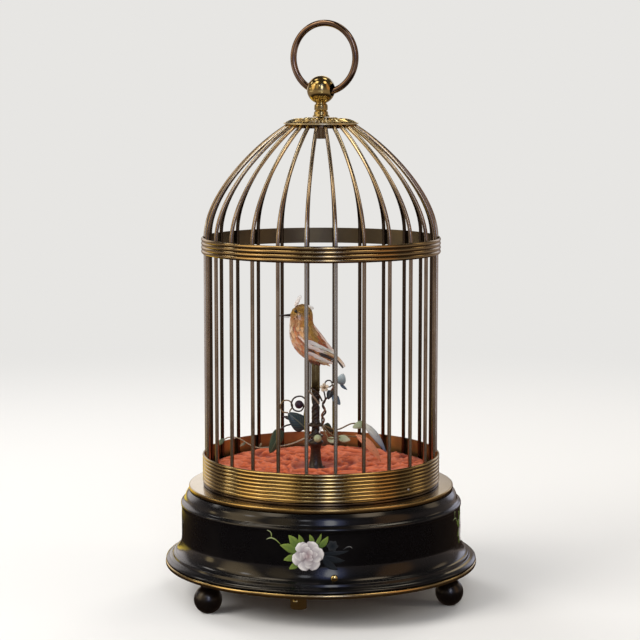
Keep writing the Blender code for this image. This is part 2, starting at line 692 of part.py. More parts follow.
def stand():
    """Turned trunk on the floor, the brass tube it carries, and the rod that slides in the tube."""
    low, bore = TRUNK_BOTTOM, TRUNK_BORE_RADIUS
    collar = low + TRUNK_COLLAR_LIFT
    collar_radius = TRUNK_RADIUS + TRUNK_COLLAR_STEP
    spot = (STAND_X, 0, 0)
    trunk = turn(
        [
            (bore, low),
            (TRUNK_FOOT_RADIUS, low),
            (TRUNK_RADIUS + TRUNK_FLARE * 0.8, low + TRUNK_FLARE * 0.5),
            (TRUNK_RADIUS + TRUNK_FLARE * 0.2, low + TRUNK_FLARE * 1.6),
            (TRUNK_RADIUS, collar - TRUNK_COLLAR_HEIGHT),
            (collar_radius, collar),
            (collar_radius, collar + TRUNK_COLLAR_HEIGHT),
            (TRUNK_RADIUS, collar + 2 * TRUNK_COLLAR_HEIGHT),
            (TRUNK_RADIUS, TRUNK_TOP),
            (bore, TRUNK_TOP),
        ],
        14,
    )
    bmesh.ops.translate(trunk, verts=trunk.verts, vec=spot)
    add_mesh("tree_trunk", trunk, DARK_WOOD)
    tube_bottom = MOVEMENT_TOP + SEAT_GAP
    tube = turn(
        [
            (TUBE_BORE_RADIUS, tube_bottom),
            (TUBE_SHANK_RADIUS, tube_bottom),
            (TUBE_SHANK_RADIUS, TUBE_SHOULDER),
            (TUBE_RADIUS, TUBE_SHOULDER),
            (TUBE_RADIUS, TUBE_TOP),
            (TUBE_BORE_RADIUS, TUBE_TOP),
        ],
        12,
    )
    bmesh.ops.translate(tube, verts=tube.verts, vec=spot)
    add_mesh("perch_tube", tube, BRASS)
    rod = cylinder(ROD_RADIUS, tube_bottom, TUBE_TOP + ROD_RADIUS, 8, spot)
    add_mesh("control_rod", rod, STEEL, spot)


# Stems and leaves: x, y, z from the side of the stem ring, half width, half thickness along each stem
LEFT_STEMS = {
    "long_vine": [
        (0.0002, -0.0010, -0.0005, 0.0005, 0.0005),
        (-0.0090, -0.0030, -0.0037, 0.0004, 0.0004),
        (-0.0208, -0.0040, -0.0053, 0.0004, 0.0004),
        (-0.0279, -0.0040, -0.0050, 0.0004, 0.0004),
        (-0.0357, -0.0030, -0.0007, 0.0004, 0.0004),
        (-0.0408, -0.0020, -0.0005, 0.0005, 0.0004),
        (-0.0440, -0.0020, -0.0023, 0.0013, 0.0003),
        (-0.0470, -0.0020, -0.0052, 0.0002, 0.0002),
    ],
    "hanging_leaf": [
        (0.0002, 0.0000, -0.0005, 0.0005, 0.0005),
        (-0.0050, -0.0020, 0.0063, 0.0005, 0.0005),
        (-0.0112, -0.0030, 0.0059, 0.0005, 0.0005),
        (-0.0154, -0.0040, 0.0033, 0.0012, 0.0004),
        (-0.0182, -0.0050, -0.0009, 0.0034, 0.0004),
        (-0.0196, -0.0050, -0.0050, 0.0030, 0.0004),
        (-0.0202, -0.0050, -0.0081, 0.0004, 0.0003),
    ],
    "fan_leaf": [
        (0.0002, -0.0005, -0.0002, 0.0005, 0.0005),
        (-0.0024, -0.0010, 0.0027, 0.0008, 0.0005),
        (-0.0042, -0.0020, 0.0053, 0.0034, 0.0004),
        (-0.0064, -0.0020, 0.0075, 0.0042, 0.0004),
        (-0.0092, -0.0030, 0.0098, 0.0020, 0.0004),
        (-0.0108, -0.0030, 0.0113, 0.0003, 0.0003),
    ],
    "curl": [
        (0.0002, 0.0005, 0.0001, 0.0005, 0.0005),
        (-0.0026, 0.0010, 0.0057, 0.0005, 0.0005),
        (-0.0022, 0.0010, 0.0140, 0.0005, 0.0005),
        (-0.0014, 0.0010, 0.0177, 0.0005, 0.0005),
        (-0.0040, 0.0010, 0.0203, 0.0005, 0.0005),
        (-0.0078, 0.0010, 0.0193, 0.0005, 0.0005),
        (-0.0090, 0.0010, 0.0160, 0.0005, 0.0005),
        (-0.0072, 0.0010, 0.0133, 0.0006, 0.0006),
        (-0.0052, 0.0010, 0.0141, 0.0018, 0.0018),
        (-0.0040, 0.0010, 0.0161, 0.0006, 0.0006),
    ],
}
RIGHT_STEMS = {
    "orange_leaf": [
        (0.0000, -0.0010, 0.0000, 0.0005, 0.0005),
        (0.0054, -0.0020, -0.0050, 0.0005, 0.0005),
        (0.0114, -0.0040, -0.0050, 0.0005, 0.0005),
        (0.0174, -0.0050, -0.0050, 0.0006, 0.0004),
        (0.0209, -0.0050, -0.0079, 0.0019, 0.0004),
        (0.0252, -0.0050, -0.0127, 0.0020, 0.0004),
        (0.0294, -0.0040, -0.0180, 0.0003, 0.0003),
    ],
    "blue_leaf": [
        (0.0000, 0.0000, 0.0000, 0.0005, 0.0005),
        (0.0074, 0.0010, -0.0027, 0.0005, 0.0005),
        (0.0154, 0.0020, 0.0003, 0.0005, 0.0005),
        (0.0215, 0.0020, -0.0010, 0.0008, 0.0004),
        (0.0256, 0.0010, -0.0054, 0.0018, 0.0004),
        (0.0292, 0.0000, -0.0097, 0.0017, 0.0004),
        (0.0317, 0.0000, -0.0131, 0.0003, 0.0003),
    ],
    "pale_leaf": [
        (0.0000, -0.0015, 0.0000, 0.0005, 0.0005),
        (0.0029, -0.0050, -0.0047, 0.0008, 0.0004),
        (0.0052, -0.0060, -0.0067, 0.0020, 0.0004),
        (0.0084, -0.0065, -0.0077, 0.0018, 0.0004),
        (0.0112, -0.0065, -0.0072, 0.0003, 0.0003),
    ],
    "tall_vine": [
        (0.0000, 0.0005, 0.0000, 0.0005, 0.0005),
        (0.0008, 0.0005, 0.0043, 0.0006, 0.0005),
        (0.0007, 0.0005, 0.0103, 0.0005, 0.0005),
        (0.0036, 0.0005, 0.0148, 0.0016, 0.0005),
        (0.0056, 0.0000, 0.0183, 0.0006, 0.0005),
        (0.0076, 0.0000, 0.0213, 0.0016, 0.0005),
        (0.0096, 0.0000, 0.0243, 0.0018, 0.0005),
        (0.0112, 0.0000, 0.0270, 0.0003, 0.0003),
    ],
    "low_leaf": [
        (0.0000, 0.0010, 0.0000, 0.0005, 0.0005),
        (0.0028, 0.0040, -0.0020, 0.0014, 0.0005),
        (0.0048, 0.0050, -0.0026, 0.0013, 0.0005),
        (0.0064, 0.0055, -0.0022, 0.0003, 0.0003),
    ],
}


def foliage(name, stems, lift, side, look):
    """Vine stems and leaves, soldered to one side of a wire ring round the trunk."""
    ring_radius = TRUNK_RADIUS + SEAT_GAP + STEM_RING_RADIUS
    centre = Vector((STAND_X, 0, TRUNK_BOTTOM + lift))
    bm = bmesh.new()
    circle = bmesh.ops.create_circle(
        bm, segments=6, radius=STEM_RING_RADIUS, matrix=Matrix.Translation((ring_radius, 0, 0))
        @ Matrix.Rotation(math.pi / 2, 4, "X")
    )
    bmesh.ops.spin(
        bm, geom=circle["verts"] + list(bm.edges), cent=(0, 0, 0), axis=(0, 0, 1), angle=math.tau,
        steps=12, use_merge=True
    )
    bmesh.ops.translate(bm, verts=bm.verts, vec=centre)
    group = add_mesh(name, bm, look)
    start = centre + Vector((side * ring_radius, 0, 0))
    for stem, stations in stems.items():
        join(group, add_mesh(name + "_" + stem, loft(stations, (0, -1, 0), 6, start), None))


# Oval sections of the bird: x, y, z from the perch, half depth, half width
BODY_SECTIONS = [
    (-0.0069, 0, 0.0158, 0.0056, 0.0050),
    (-0.0060, 0, 0.0117, 0.0070, 0.0060),
    (-0.0042, 0, 0.0068, 0.0075, 0.0066),
    (-0.0011, 0, 0.0028, 0.0068, 0.0062),
    (0.0033, 0, -0.0001, 0.0052, 0.0050),
    (0.0063, 0, -0.0021, 0.0045, 0.0040),
    (0.0077, 0, -0.0031, 0.0034, 0.0030),
]
WING_SECTIONS = [
    (-0.0063, 0.0050, 0.0115, 0.0012, 0.0010),
    (-0.0033, 0.0058, 0.0080, 0.0034, 0.0016),
    (0.0009, 0.0054, 0.0033, 0.0036, 0.0016),
    (0.0051, 0.0040, -0.0017, 0.0026, 0.0014),
    (0.0085, 0.0024, -0.0057, 0.0005, 0.0006),
]
HEAD_SECTIONS = [
    (-0.0069, 0, 0.0161, 0.0055, 0.0049),
    (-0.0071, 0, 0.0183, 0.0057, 0.0052),
    (-0.0073, 0, 0.0209, 0.0054, 0.0051),
    (-0.0075, 0, 0.0233, 0.0042, 0.0040),
    (-0.0077, 0, 0.0248, 0.0023, 0.0022),
    (-0.0078, 0, 0.0254, 0.0007, 0.0007),
]
UPPER_BEAK_SECTIONS = [
    (-0.01030, 0, 0.01930, 0.0009, 0.0010),
    (-0.01280, 0, 0.01925, 0.0005, 0.0007),
    (-0.01860, 0, 0.01890, 0.00015, 0.0002),
]
LOWER_BEAK_SECTIONS = [
    (-0.01315, 0, 0.01830, 0.00020, 0.0005),
    (-0.01380, 0, 0.01830, 0.00025, 0.0005),
    (-0.01750, 0, 0.01840, 0.00012, 0.0002),
]
CREST_SECTIONS = [
    (-0.0095, 0, 0.0230, 0.0010, 0.0008),
    (-0.0094, 0, 0.0259, 0.0011, 0.0006),
    (-0.0073, 0, 0.0302, 0.0002, 0.0002),
]
NAPE_SECTIONS = [
    (-0.0060, 0, 0.0232, 0.0009, 0.0011),
    (-0.0034, 0, 0.0242, 0.0009, 0.0009),
    (-0.0008, 0, 0.0228, 0.0002, 0.0002),
]
TAIL_SECTIONS = [
    (0.0099, 0, -0.0014, 0.0008, 0.0018),
    (0.0117, 0, -0.0035, 0.0009, 0.0024),
    (0.0149, 0, -0.0071, 0.0006, 0.0027),
]


def bird():
    """Body with folded wings and a socket for the tube, turning head, opening beak, bobbing tail."""
    side = (0, 1, 0)
    flat = (0, 0, 1)
    body = add_mesh("bird_body", loft(BODY_SECTIONS, side, 12, PERCH, ((0, 0, -1), None)), FEATHER_GOLD)
    for sign, hand in ((1, "left"), (-1, "right")):
        sections = [(x, y * sign, z, a, b) for x, y, z, a, b in WING_SECTIONS]
        join(body, add_mesh("wing_" + hand, loft(sections, side, 8, PERCH), None))
    socket_top = TUBE_TOP + BIRD_SOCKET_DEPTH
    socket = cylinder(TUBE_RADIUS + SEAT_GAP, TUBE_SHOULDER, socket_top, 12, (STAND_X, 0))
    cut(body, add_mesh("socket", socket, None))
    tail_pivot = PERCH + TAIL_HINGE
    slot = cylinder(TAIL_ROOT_RADIUS + SEAT_GAP, -0.01, 0.01, 14)
    cut(body, add_mesh("tail_seat", place(slot, side, tail_pivot), None))

    head = add_mesh(
        "bird_head", loft(HEAD_SECTIONS, side, 12, PERCH, (flat, flat)), FEATHER_GOLD, PERCH + BIRD_NECK
    )
    join(head, add_mesh("upper_beak", loft(UPPER_BEAK_SECTIONS, side, 6, PERCH), None))
    join(head, add_mesh("crest_feather", loft(CREST_SECTIONS, side, 6, PERCH), None))
    join(head, add_mesh("nape_feather", loft(NAPE_SECTIONS, side, 6, PERCH), None))
    beak = loft(LOWER_BEAK_SECTIONS, side, 6, PERCH)
    add_mesh("bird_beak", beak, BEAK_BLACK, PERCH + BEAK_HINGE)

    root = cylinder(TAIL_ROOT_RADIUS, -TAIL_ROOT_WIDTH / 2, TAIL_ROOT_WIDTH / 2, 12)
    tail = add_mesh("bird_tail", place(root, side, tail_pivot), FEATHER_PALE, tail_pivot)
    join(tail, add_mesh("tail_feathers", loft(TAIL_SECTIONS, side, 8, PERCH), None))


def gear_outline(teeth, module, phase):
    """Trapezoid teeth with a wide backlash, one of them centred on the phase angle."""
    pitch = teeth * module / 2
    root, tip = pitch - TOOTH_DEDENDUM * module, pitch + TOOTH_ADDENDUM * module
    root_half, tip_half = 0.27 * math.pi * module / root, 0.11 * math.pi * module / tip
    outline = []
    for k in range(teeth):
        middle = phase + math.tau * k / teeth
        for radius, offset in ((root, -root_half), (tip, -tip_half), (tip, tip_half), (root, root_half)):
            outline.append((radius * math.cos(middle + offset), radius * math.sin(middle + offset)))
    return outline


def add_gear(piece, teeth, module, phase, bottom, top, centre):
    """Joins a toothed wheel to the piece that it turns with."""
    bm = prism(gear_outline(teeth, module, phase), bottom, top)
    bmesh.ops.translate(bm, verts=bm.verts, vec=(centre.x, centre.y, 0))
    join(piece, add_mesh("%s_teeth_%d" % (piece.name, teeth), bm, None))


def pinion_phase(bearing, teeth):
    """Phase that puts a tooth space of a pinion on the line to the wheel that drives it."""
    return bearing + math.pi + math.pi / teeth


def arbor(name, look, centre):
    """Arbor between the frame plates, with a thin pivot in each plate."""
    profile = [
        (0, MOVEMENT_BOTTOM),
        (PIVOT_RADIUS, MOVEMENT_BOTTOM),
        (PIVOT_RADIUS, MOVEMENT_INSIDE + SEAT_GAP),
        (SHAFT_RADIUS, MOVEMENT_INSIDE + SEAT_GAP),
        (SHAFT_RADIUS, FRAME_INSIDE_TOP - SEAT_GAP),
        (PIVOT_RADIUS, FRAME_INSIDE_TOP - SEAT_GAP),
        (PIVOT_RADIUS, MOVEMENT_TOP),
        (0, MOVEMENT_TOP),
    ]
    bm = turn(profile, 8)
    bmesh.ops.translate(bm, verts=bm.verts, vec=(centre.x, centre.y, 0))
    return add_mesh(name, bm, look, (centre.x, centre.y, 0))


def movement_frame(pivots):
    """Two plates on four pillars, drilled for the pivots and for the winding arbor."""
    radius = CASING_BORE_RADIUS - FRAME_EDGE_CLEARANCE
    outline = []
    for k in range(24):
        spot = around(radius, 15 * k)
        x = max(-FRAME_HALF_WIDTH, min(FRAME_HALF_WIDTH, spot.x))
        outline.append((x, min(spot.y, FRAME_BACK)))
    outline = [point for k, point in enumerate(outline) if point != outline[k - 1]]
    frame = add_mesh("movement_frame", prism(outline, MOVEMENT_BOTTOM, MOVEMENT_INSIDE), BRASS)
    join(frame, add_mesh("upper_plate", prism(outline, FRAME_INSIDE_TOP, MOVEMENT_TOP), None))
    inset = 2 * PILLAR_RADIUS
    low, high = MOVEMENT_INSIDE - FRAME_SHEET / 2, FRAME_INSIDE_TOP + FRAME_SHEET / 2
    for x in (-FRAME_HALF_WIDTH + inset, FRAME_HALF_WIDTH - inset):
        for y in (-FRAME_FRONT_PILLAR, FRAME_BACK - inset):
            join(frame, add_mesh("pillar", cylinder(PILLAR_RADIUS, low, high, 8, (x, y)), None))
    for centre in pivots:
        hole = cylinder(PIVOT_RADIUS + PIVOT_GAP, 0, CASING_TOP, 8, centre)
        cut(frame, add_mesh("pivot_hole", hole, None))
    middle = (MOVEMENT_INSIDE + FRAME_INSIDE_TOP) / 2
    cut(frame, arbor_hole(0, middle, ARBOR_RADIUS + PIVOT_GAP))
    cut(frame, arbor_hole(middle, CASING_TOP, PIVOT_RADIUS + PIVOT_GAP))


def movement():
    """Frame, mainspring barrel, cam stack, drive wheel and air brake, with their teeth in mesh."""
    barrel_spot = around(ARBOR_CIRCLE_RADIUS, ARBOR_AZIMUTH)
    reaches = (
        (GREAT_WHEEL_TEETH + CAM_PINION_TEETH) * GREAT_WHEEL_MODULE / 2,
        (CAM_WHEEL_TEETH + DRIVE_PINION_TEETH) * CAM_WHEEL_MODULE / 2,
        (DRIVE_WHEEL_TEETH + FLY_PINION_TEETH) * DRIVE_WHEEL_MODULE / 2,
    )
    ways = [math.radians(bearing) for bearing in TRAIN_BEARINGS]
    spots = [barrel_spot]
    for reach, way in zip(reaches, ways):
        spots.append(spots[-1] + reach * Vector((math.cos(way), math.sin(way), 0)))
    cams, drive, fly = spots[1:]
    movement_frame((cams, drive, fly))

    cam_wheel_low = MOVEMENT_INSIDE + CAM_WHEEL_LIFT
    cam_wheel_top = cam_wheel_low + WHEEL_SHEET
    drive_low = cam_wheel_top + DRIVE_WHEEL_GAP
    drive_top = drive_low + WHEEL_SHEET
    drum_low = cam_wheel_top + STACK_GAP
    drum_high = drum_low + BARREL_HEIGHT
    great_low = drum_high - WHEEL_SHEET / 4
    great_top = great_low + WHEEL_SHEET

    drum = cylinder(BARREL_RADIUS, drum_low, drum_high, 24, barrel_spot)
    barrel = add_mesh("mainspring_barrel", drum, BRASS, barrel_spot)
    add_gear(barrel, GREAT_WHEEL_TEETH, GREAT_WHEEL_MODULE, ways[0], great_low, great_top, barrel_spot)
    cut(barrel, arbor_hole(MOVEMENT_INSIDE, MOVEMENT_TOP, ARBOR_RADIUS + PIVOT_GAP))

    stack = arbor("cam_stack", STEEL, cams)
    phase = pinion_phase(ways[0], CAM_PINION_TEETH)
    pinion_low = great_low - PINION_OVERLAP
    pinion_top = great_top + PINION_OVERLAP
    add_gear(stack, CAM_PINION_TEETH, GREAT_WHEEL_MODULE, phase, pinion_low, pinion_top, cams)
    add_gear(stack, CAM_WHEEL_TEETH, CAM_WHEEL_MODULE, ways[1], cam_wheel_low, cam_wheel_top, cams)
    cam_low = drive_top + STACK_GAP
    cam_pitch = (pinion_low - cam_low) / CAM_COUNT
    for k in range(CAM_COUNT):
        lobe = []
        for j in range(16):
            angle = math.tau * j / 16
            radius = CAM_RADIUS * (0.82 + 0.16 * math.sin((k + 2) * angle))
            lobe.append((cams.x + radius * math.cos(angle), cams.y + radius * math.sin(angle)))
        bottom = cam_low + cam_pitch * k
        join(stack, add_mesh("cam", prism(lobe, bottom, bottom + cam_pitch / 2), None))

    wheel = arbor("drive_wheel", BRASS, drive)
    phase = pinion_phase(ways[1], DRIVE_PINION_TEETH)
    pinion_low = cam_wheel_low - PINION_OVERLAP
    pinion_top = cam_wheel_top + PINION_OVERLAP
    add_gear(wheel, DRIVE_PINION_TEETH, CAM_WHEEL_MODULE, phase, pinion_low, pinion_top, drive)
    add_gear(wheel, DRIVE_WHEEL_TEETH, DRIVE_WHEEL_MODULE, ways[2], drive_low, drive_top, drive)

    brake = arbor("governor_fly", STEEL, fly)
    phase = pinion_phase(ways[2], FLY_PINION_TEETH)
    pinion_low = drive_low - PINION_OVERLAP
    pinion_top = drive_top + PINION_OVERLAP
    add_gear(brake, FLY_PINION_TEETH, DRIVE_WHEEL_MODULE, phase, pinion_low, pinion_top, fly)
    vane_middle = drive_low + VANE_LIFT + VANE_HEIGHT / 2
    vane = box((2 * FLY_RADIUS, VANE_SHEET, VANE_HEIGHT), (fly.x, fly.y, vane_middle))
    join(brake, add_mesh("vane", vane, None))


def bellows():
    """Open wind chest, and the flap board hinged at its back edge."""
    low = MOVEMENT_INSIDE + SEAT_GAP
    centre = Vector((0, BELLOWS_FRONT + BELLOWS_DEPTH / 2, low + BELLOWS_HEIGHT / 2))
    chest = add_mesh("bellows", box((BELLOWS_LENGTH, BELLOWS_DEPTH, BELLOWS_HEIGHT), centre), BOARD)
    inner = (BELLOWS_LENGTH - 2 * BELLOWS_WALL, BELLOWS_DEPTH - 2 * BELLOWS_WALL, BELLOWS_HEIGHT)
    cut(chest, add_mesh("wind_space", box(inner, centre + Vector((0, 0, BELLOWS_WALL))), None))
    board_depth = BELLOWS_DEPTH - BELLOWS_WALL
    hinge_z = low + BELLOWS_HEIGHT + SEAT_GAP + BELLOWS_WALL / 2
    hinge = Vector((0, BELLOWS_FRONT + board_depth, hinge_z))
    board = box((BELLOWS_LENGTH, board_depth, BELLOWS_WALL), hinge - Vector((0, board_depth / 2, 0)))
    lift = Matrix.Translation(hinge) @ Matrix.Rotation(-math.radians(FLAP_OPEN_ANGLE), 4, "X")
    bmesh.ops.transform(board, matrix=lift @ Matrix.Translation(-hinge), verts=board.verts)
    add_mesh("bellows_flap", board, DARK_WOOD, hinge)


def whistle():
    """Slide whistle on a foot, with its mouth on top, and the piston that sets the pitch."""
    low = MOVEMENT_INSIDE + SEAT_GAP
    y, z = BELLOWS_FRONT - WHISTLE_CLEARANCE - WHISTLE_RADIUS, MOVEMENT_INSIDE + WHISTLE_LIFT
    right = WHISTLE_LEFT + WHISTLE_LENGTH
    bore = WHISTLE_RADIUS - WHISTLE_WALL
    sound_end = WHISTLE_LEFT + WHISTLE_BLOCK
    pipe = turn(
        [
            (0, WHISTLE_LEFT),
            (WHISTLE_RADIUS, WHISTLE_LEFT),
            (WHISTLE_RADIUS, right),
            (bore, right),
            (bore, sound_end),
            (0, sound_end),
        ],
        12,
    )
    pipe = add_mesh("whistle", place(pipe, (1, 0, 0), (0, y, z)), BRASS)
    foot_top = z - bore - SEAT_GAP
    foot_middle = (WHISTLE_LEFT + WHISTLE_FOOT_X, y, (foot_top + low) / 2)
    foot = box((WHISTLE_FOOT, WHISTLE_FOOT, foot_top - low), foot_middle)
    join(pipe, add_mesh("whistle_foot", foot, None))
    mouth_middle = (WHISTLE_LEFT + WHISTLE_MOUTH_X, y, z + WHISTLE_RADIUS)
    mouth = box((WHISTLE_MOUTH, WHISTLE_RADIUS, WHISTLE_RADIUS), mouth_middle)
    cut(pipe, add_mesh("whistle_mouth", mouth, None))

    head, head_end = bore - PIVOT_GAP, right - PISTON_INSET
    knob_start = right + PISTON_REACH
    piston = turn(
        [
            (0, head_end),
            (head, head_end),
            (head, head_end + PISTON_LENGTH),
            (PIVOT_RADIUS, head_end + PISTON_LENGTH),
            (PIVOT_RADIUS, knob_start),
            (head, knob_start),
            (head, knob_start + PISTON_KNOB),
            (0, knob_start + PISTON_KNOB),
        ],
        10,
    )
    place(piston, (1, 0, 0), (0, y, z))
    add_mesh("whistle_piston", piston, STEEL, (head_end, y, z))


clear_scene()
feet()
base()
knob()
winding_key()
floor()
band("lower_band", CAGE_BOTTOM, LOWER_BAND_HEIGHT, LOWER_BAND_RIDGES)
band("upper_band", CAGE_BOTTOM + UPPER_BAND_LIFT, UPPER_BAND_HEIGHT, UPPER_BAND_RIDGES)
cage_bars()
crown()
finial_and_ring()
stand()
foliage("foliage_left", LEFT_STEMS, LEFT_RING_LIFT, -1, LEAF_GREEN)
foliage("foliage_right", RIGHT_STEMS, RIGHT_RING_LIFT, 1, LEAF_BLUE)
bird()
movement()
bellows()
whistle()
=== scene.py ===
"""Singing bird automaton: a brass cage on a black lacquered base, in metres, +Z up.

The front is -Y. Azimuths are in degrees from the front, positive towards +X.
"""

import math
import random

import bmesh
import bpy
from mathutils import Matrix, Vector, noise
from mathutils.bvhtree import BVHTree


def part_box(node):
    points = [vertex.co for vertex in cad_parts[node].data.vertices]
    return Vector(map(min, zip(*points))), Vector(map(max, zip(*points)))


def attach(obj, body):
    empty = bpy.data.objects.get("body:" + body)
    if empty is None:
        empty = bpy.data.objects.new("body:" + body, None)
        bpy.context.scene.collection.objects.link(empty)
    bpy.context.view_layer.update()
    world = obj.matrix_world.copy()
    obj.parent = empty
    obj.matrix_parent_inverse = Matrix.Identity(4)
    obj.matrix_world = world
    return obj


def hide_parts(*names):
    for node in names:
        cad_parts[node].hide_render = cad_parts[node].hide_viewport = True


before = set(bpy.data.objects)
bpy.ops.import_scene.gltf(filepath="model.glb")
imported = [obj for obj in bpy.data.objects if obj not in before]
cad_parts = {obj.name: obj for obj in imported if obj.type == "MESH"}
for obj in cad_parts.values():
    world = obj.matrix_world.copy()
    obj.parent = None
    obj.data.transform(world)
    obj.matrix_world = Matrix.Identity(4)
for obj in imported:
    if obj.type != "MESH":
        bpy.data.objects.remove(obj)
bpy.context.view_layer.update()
scene = bpy.context.scene
scene.view_settings.view_transform = "Standard"


# Studio: a pale floor that runs out into a pale surround, lit from the front left, with softer lamps
# behind. The polished pieces mirror a dim brown room with a few soft windows and lamps in it. The
# camera stands a metre away, a little above the dome, and looks down.
CAMERA_PLACE = (-0.0005, -1.0126, 0.2627)
CAMERA_PITCH = 0.1209
CAMERA_LENS = 113.85
BACKDROP = (0.80, 0.79, 0.77)
TABLE_DARK = (0.030, 0.019, 0.013)
TABLE_REACH = (0.36, 0.62)
FLOOR_FADE = (0.30, 0.95)
FLOOR_RADIUS = 6.0
ROOM_FLOOR = (0.31, 0.25, 0.22)
FRONT_FLOOR = (0.58, 0.59, 0.61)
LEFT_FLOOR = (0.95, 0.85, 0.78)
YELLOW_PATCH = (1.10, 0.80, 0.12)
WINDOW_STRIPE = (1.5, 1.5, 1.55)
ROOM_LOW = (0.20, 0.165, 0.15)
ROOM_HIGH = (0.050, 0.045, 0.042)
FILL_LOW = (0.26, 0.25, 0.24)
FILL_HIGH = (0.52, 0.53, 0.55)
LIGHT_CORE = 0.35
# The mirrored lights: azimuth, height and half width in degrees, height over width, colour.
MIRRORED_LIGHTS = [
    (8, 26, 15, 3.0, (0.46, 0.58, 1.25)),
    (8, 24, 6.5, 3.6, (4.0, 4.1, 4.3)),
    (-14, 34, 6, 1.6, (2.4, 2.45, 2.6)),
    (-34, 30, 15, 2.2, (0.62, 0.47, 0.27)),
    (-72, 28, 22, 1.8, (1.60, 1.22, 0.72)),
    (-69, 34, 5, 1.2, (4.4, 4.2, 4.0)),
    (-115, 34, 6, 1.2, (4.0, 3.8, 3.6)),
    (-60, 58, 13, 1.0, (3.2, 2.7, 2.0)),
    (58, 56, 13, 1.0, (3.0, 2.4, 1.7)),
    (-124, 61, 10, 1.0, (3.4, 3.0, 2.4)),
    (140, 60, 11, 1.0, (2.6, 2.3, 1.8)),
    (167, 26, 6, 1.0, (2.8, 2.5, 2.1)),
    (-92, 26, 5, 1.0, (3.0, 2.4, 1.5)),
    (-101, 5, 6, 1.0, (2.2, 1.7, 0.9)),
    (-152, 12, 20, 1.0, (1.0, 0.93, 0.92)),
    (-176, 15, 12, 1.3, (1.55, 1.45, 1.35)),
    (170, 24, 11, 1.0, (1.10, 0.85, 0.50)),
    (64, 22, 20, 1.8, (0.60, 0.34, 0.17)),
    (118, 26, 9, 1.4, (0.95, 0.74, 0.50)),
    (152, 12, 14, 1.2, (0.85, 0.85, 1.0)),
]
# The lamps: azimuth and height in degrees, distance, width, height, watts, colour. They are aimed at
# the middle of the cage.
SOFT_BOXES = {
    "left_box": (-58, 34, 1.3, 0.75, 0.75, 14.0, (1.0, 0.97, 0.93)),
    "front_box": (8, 24, 1.7, 0.3, 0.9, 5.0, (0.96, 0.98, 1.0)),
    "right_box": (78, 18, 1.5, 0.35, 0.8, 3.0, (1.0, 0.88, 0.74)),
    "back_left_box": (-145, 30, 1.4, 0.5, 0.7, 6.0, (1.0, 1.0, 1.0)),
    "back_right_box": (150, 30, 1.4, 0.5, 0.7, 5.0, (1.0, 0.96, 0.90)),
}
CAGE_MIDDLE = Vector((0, 0, 0.12))


def around(radius, azimuth, height=0.0):
    angle = math.radians(azimuth)
    return Vector((radius * math.sin(angle), -radius * math.cos(angle), height))


def towards(azimuth, height):
    """The direction of something at an azimuth and a height in degrees."""
    return around(math.cos(math.radians(height)), azimuth, math.sin(math.radians(height)))


class Socket:
    """An output of a node, which can be calculated with as if it were a number."""

    def __init__(self, nodes, output):
        self.nodes = nodes
        self.output = output

    def maths(self, operation, first, second):
        return self.nodes.add("ShaderNodeMath", {"operation": operation}, {0: first, 1: second})

    def wave(self, operation):
        return self.nodes.add("ShaderNodeMath", {"operation": operation}, {0: self})

    def __add__(self, other):
        return self.maths("ADD", self, other)

    def __sub__(self, other):
        return self.maths("SUBTRACT", self, other)

    def __rsub__(self, other):
        return self.maths("SUBTRACT", other, self)

    def __mul__(self, other):
        return self.maths("MULTIPLY", self, other)

    __radd__ = __add__
    __rmul__ = __mul__

    def rise(self, low, high):
        """0 up to one value, 1 from another, and a smooth step between them."""
        values = {"Value": self, "From Min": low, "From Max": high}
        return self.nodes.add("ShaderNodeMapRange", {"interpolation_type": "SMOOTHSTEP"}, values)


class Nodes:
    """The nodes of a material or of the surround."""

    def __init__(self, tree):
        self.tree = tree

    def join(self, socket, value):
        if isinstance(value, Socket):
            self.tree.links.new(value.output, socket)
        elif socket.type == "RGBA":
            socket.default_value = (*value, 1.0)
        else:
            socket.default_value = value

    def add(self, kind, settings, values, out=0):
        node = self.tree.nodes.new(kind)
        for name, setting in settings.items():
            setattr(node, name, setting)
        for name, value in values.items():
            self.join(node.inputs[name], value)
        return Socket(self, node.outputs[out])

    def vector(self, operation, first, second=(0.0, 0.0, 0.0), out=0):
        return self.add("ShaderNodeVectorMath", {"operation": operation}, {0: first, 1: second}, out)

    def attribute(self, name, out=0):
        return self.add("ShaderNodeAttribute", {"attribute_name": name}, {}, out)

    def mix(self, share, first, second):
        return self.add("ShaderNodeMix", {"data_type": "RGBA"}, {0: share, 6: first, 7: second}, 2)

    def grain(self, place, scale, detail=2.0, stretch=(1.0, 1.0, 1.0)):
        """Noise of a scale per metre, which can be stretched along the axes."""
        if stretch != (1.0, 1.0, 1.0):
            place = self.add("ShaderNodeMapping", {}, {"Vector": place, "Scale": stretch})
        return self.add("ShaderNodeTexNoise", {}, {"Vector": place, "Scale": scale, "Detail": detail})

    def along(self, place, axis):
        return self.add("ShaderNodeSeparateXYZ", {}, {0: place}, "XYZ".index(axis))


class Finish(Nodes):
    """A material with one shader. The shader's sockets are set or fed by name."""

    def __init__(self, name, **sockets):
        self.material = bpy.data.materials.new(name)
        self.material.use_nodes = True
        super().__init__(self.material.node_tree)
        self.shader = self.tree.nodes["Principled BSDF"]
        self.place = self.add("ShaderNodeTexCoord", {}, {}, 3)
        self.feed(**sockets)

    def feed(self, **sockets):
        for name, value in sockets.items():
            socket = name.replace("_", " ").title().replace("Ior", "IOR")
            self.join(self.shader.inputs[socket], value)

    def bump(self, height, depth, strength=1.0):
        values = {"Height": height, "Distance": depth, "Strength": strength}
        self.feed(normal=self.add("ShaderNodeBump", {}, values))

    def current(self, socket):
        """What feeds a socket of the shader so far."""
        return Socket(self, self.shader.inputs[socket].links[0].from_socket)


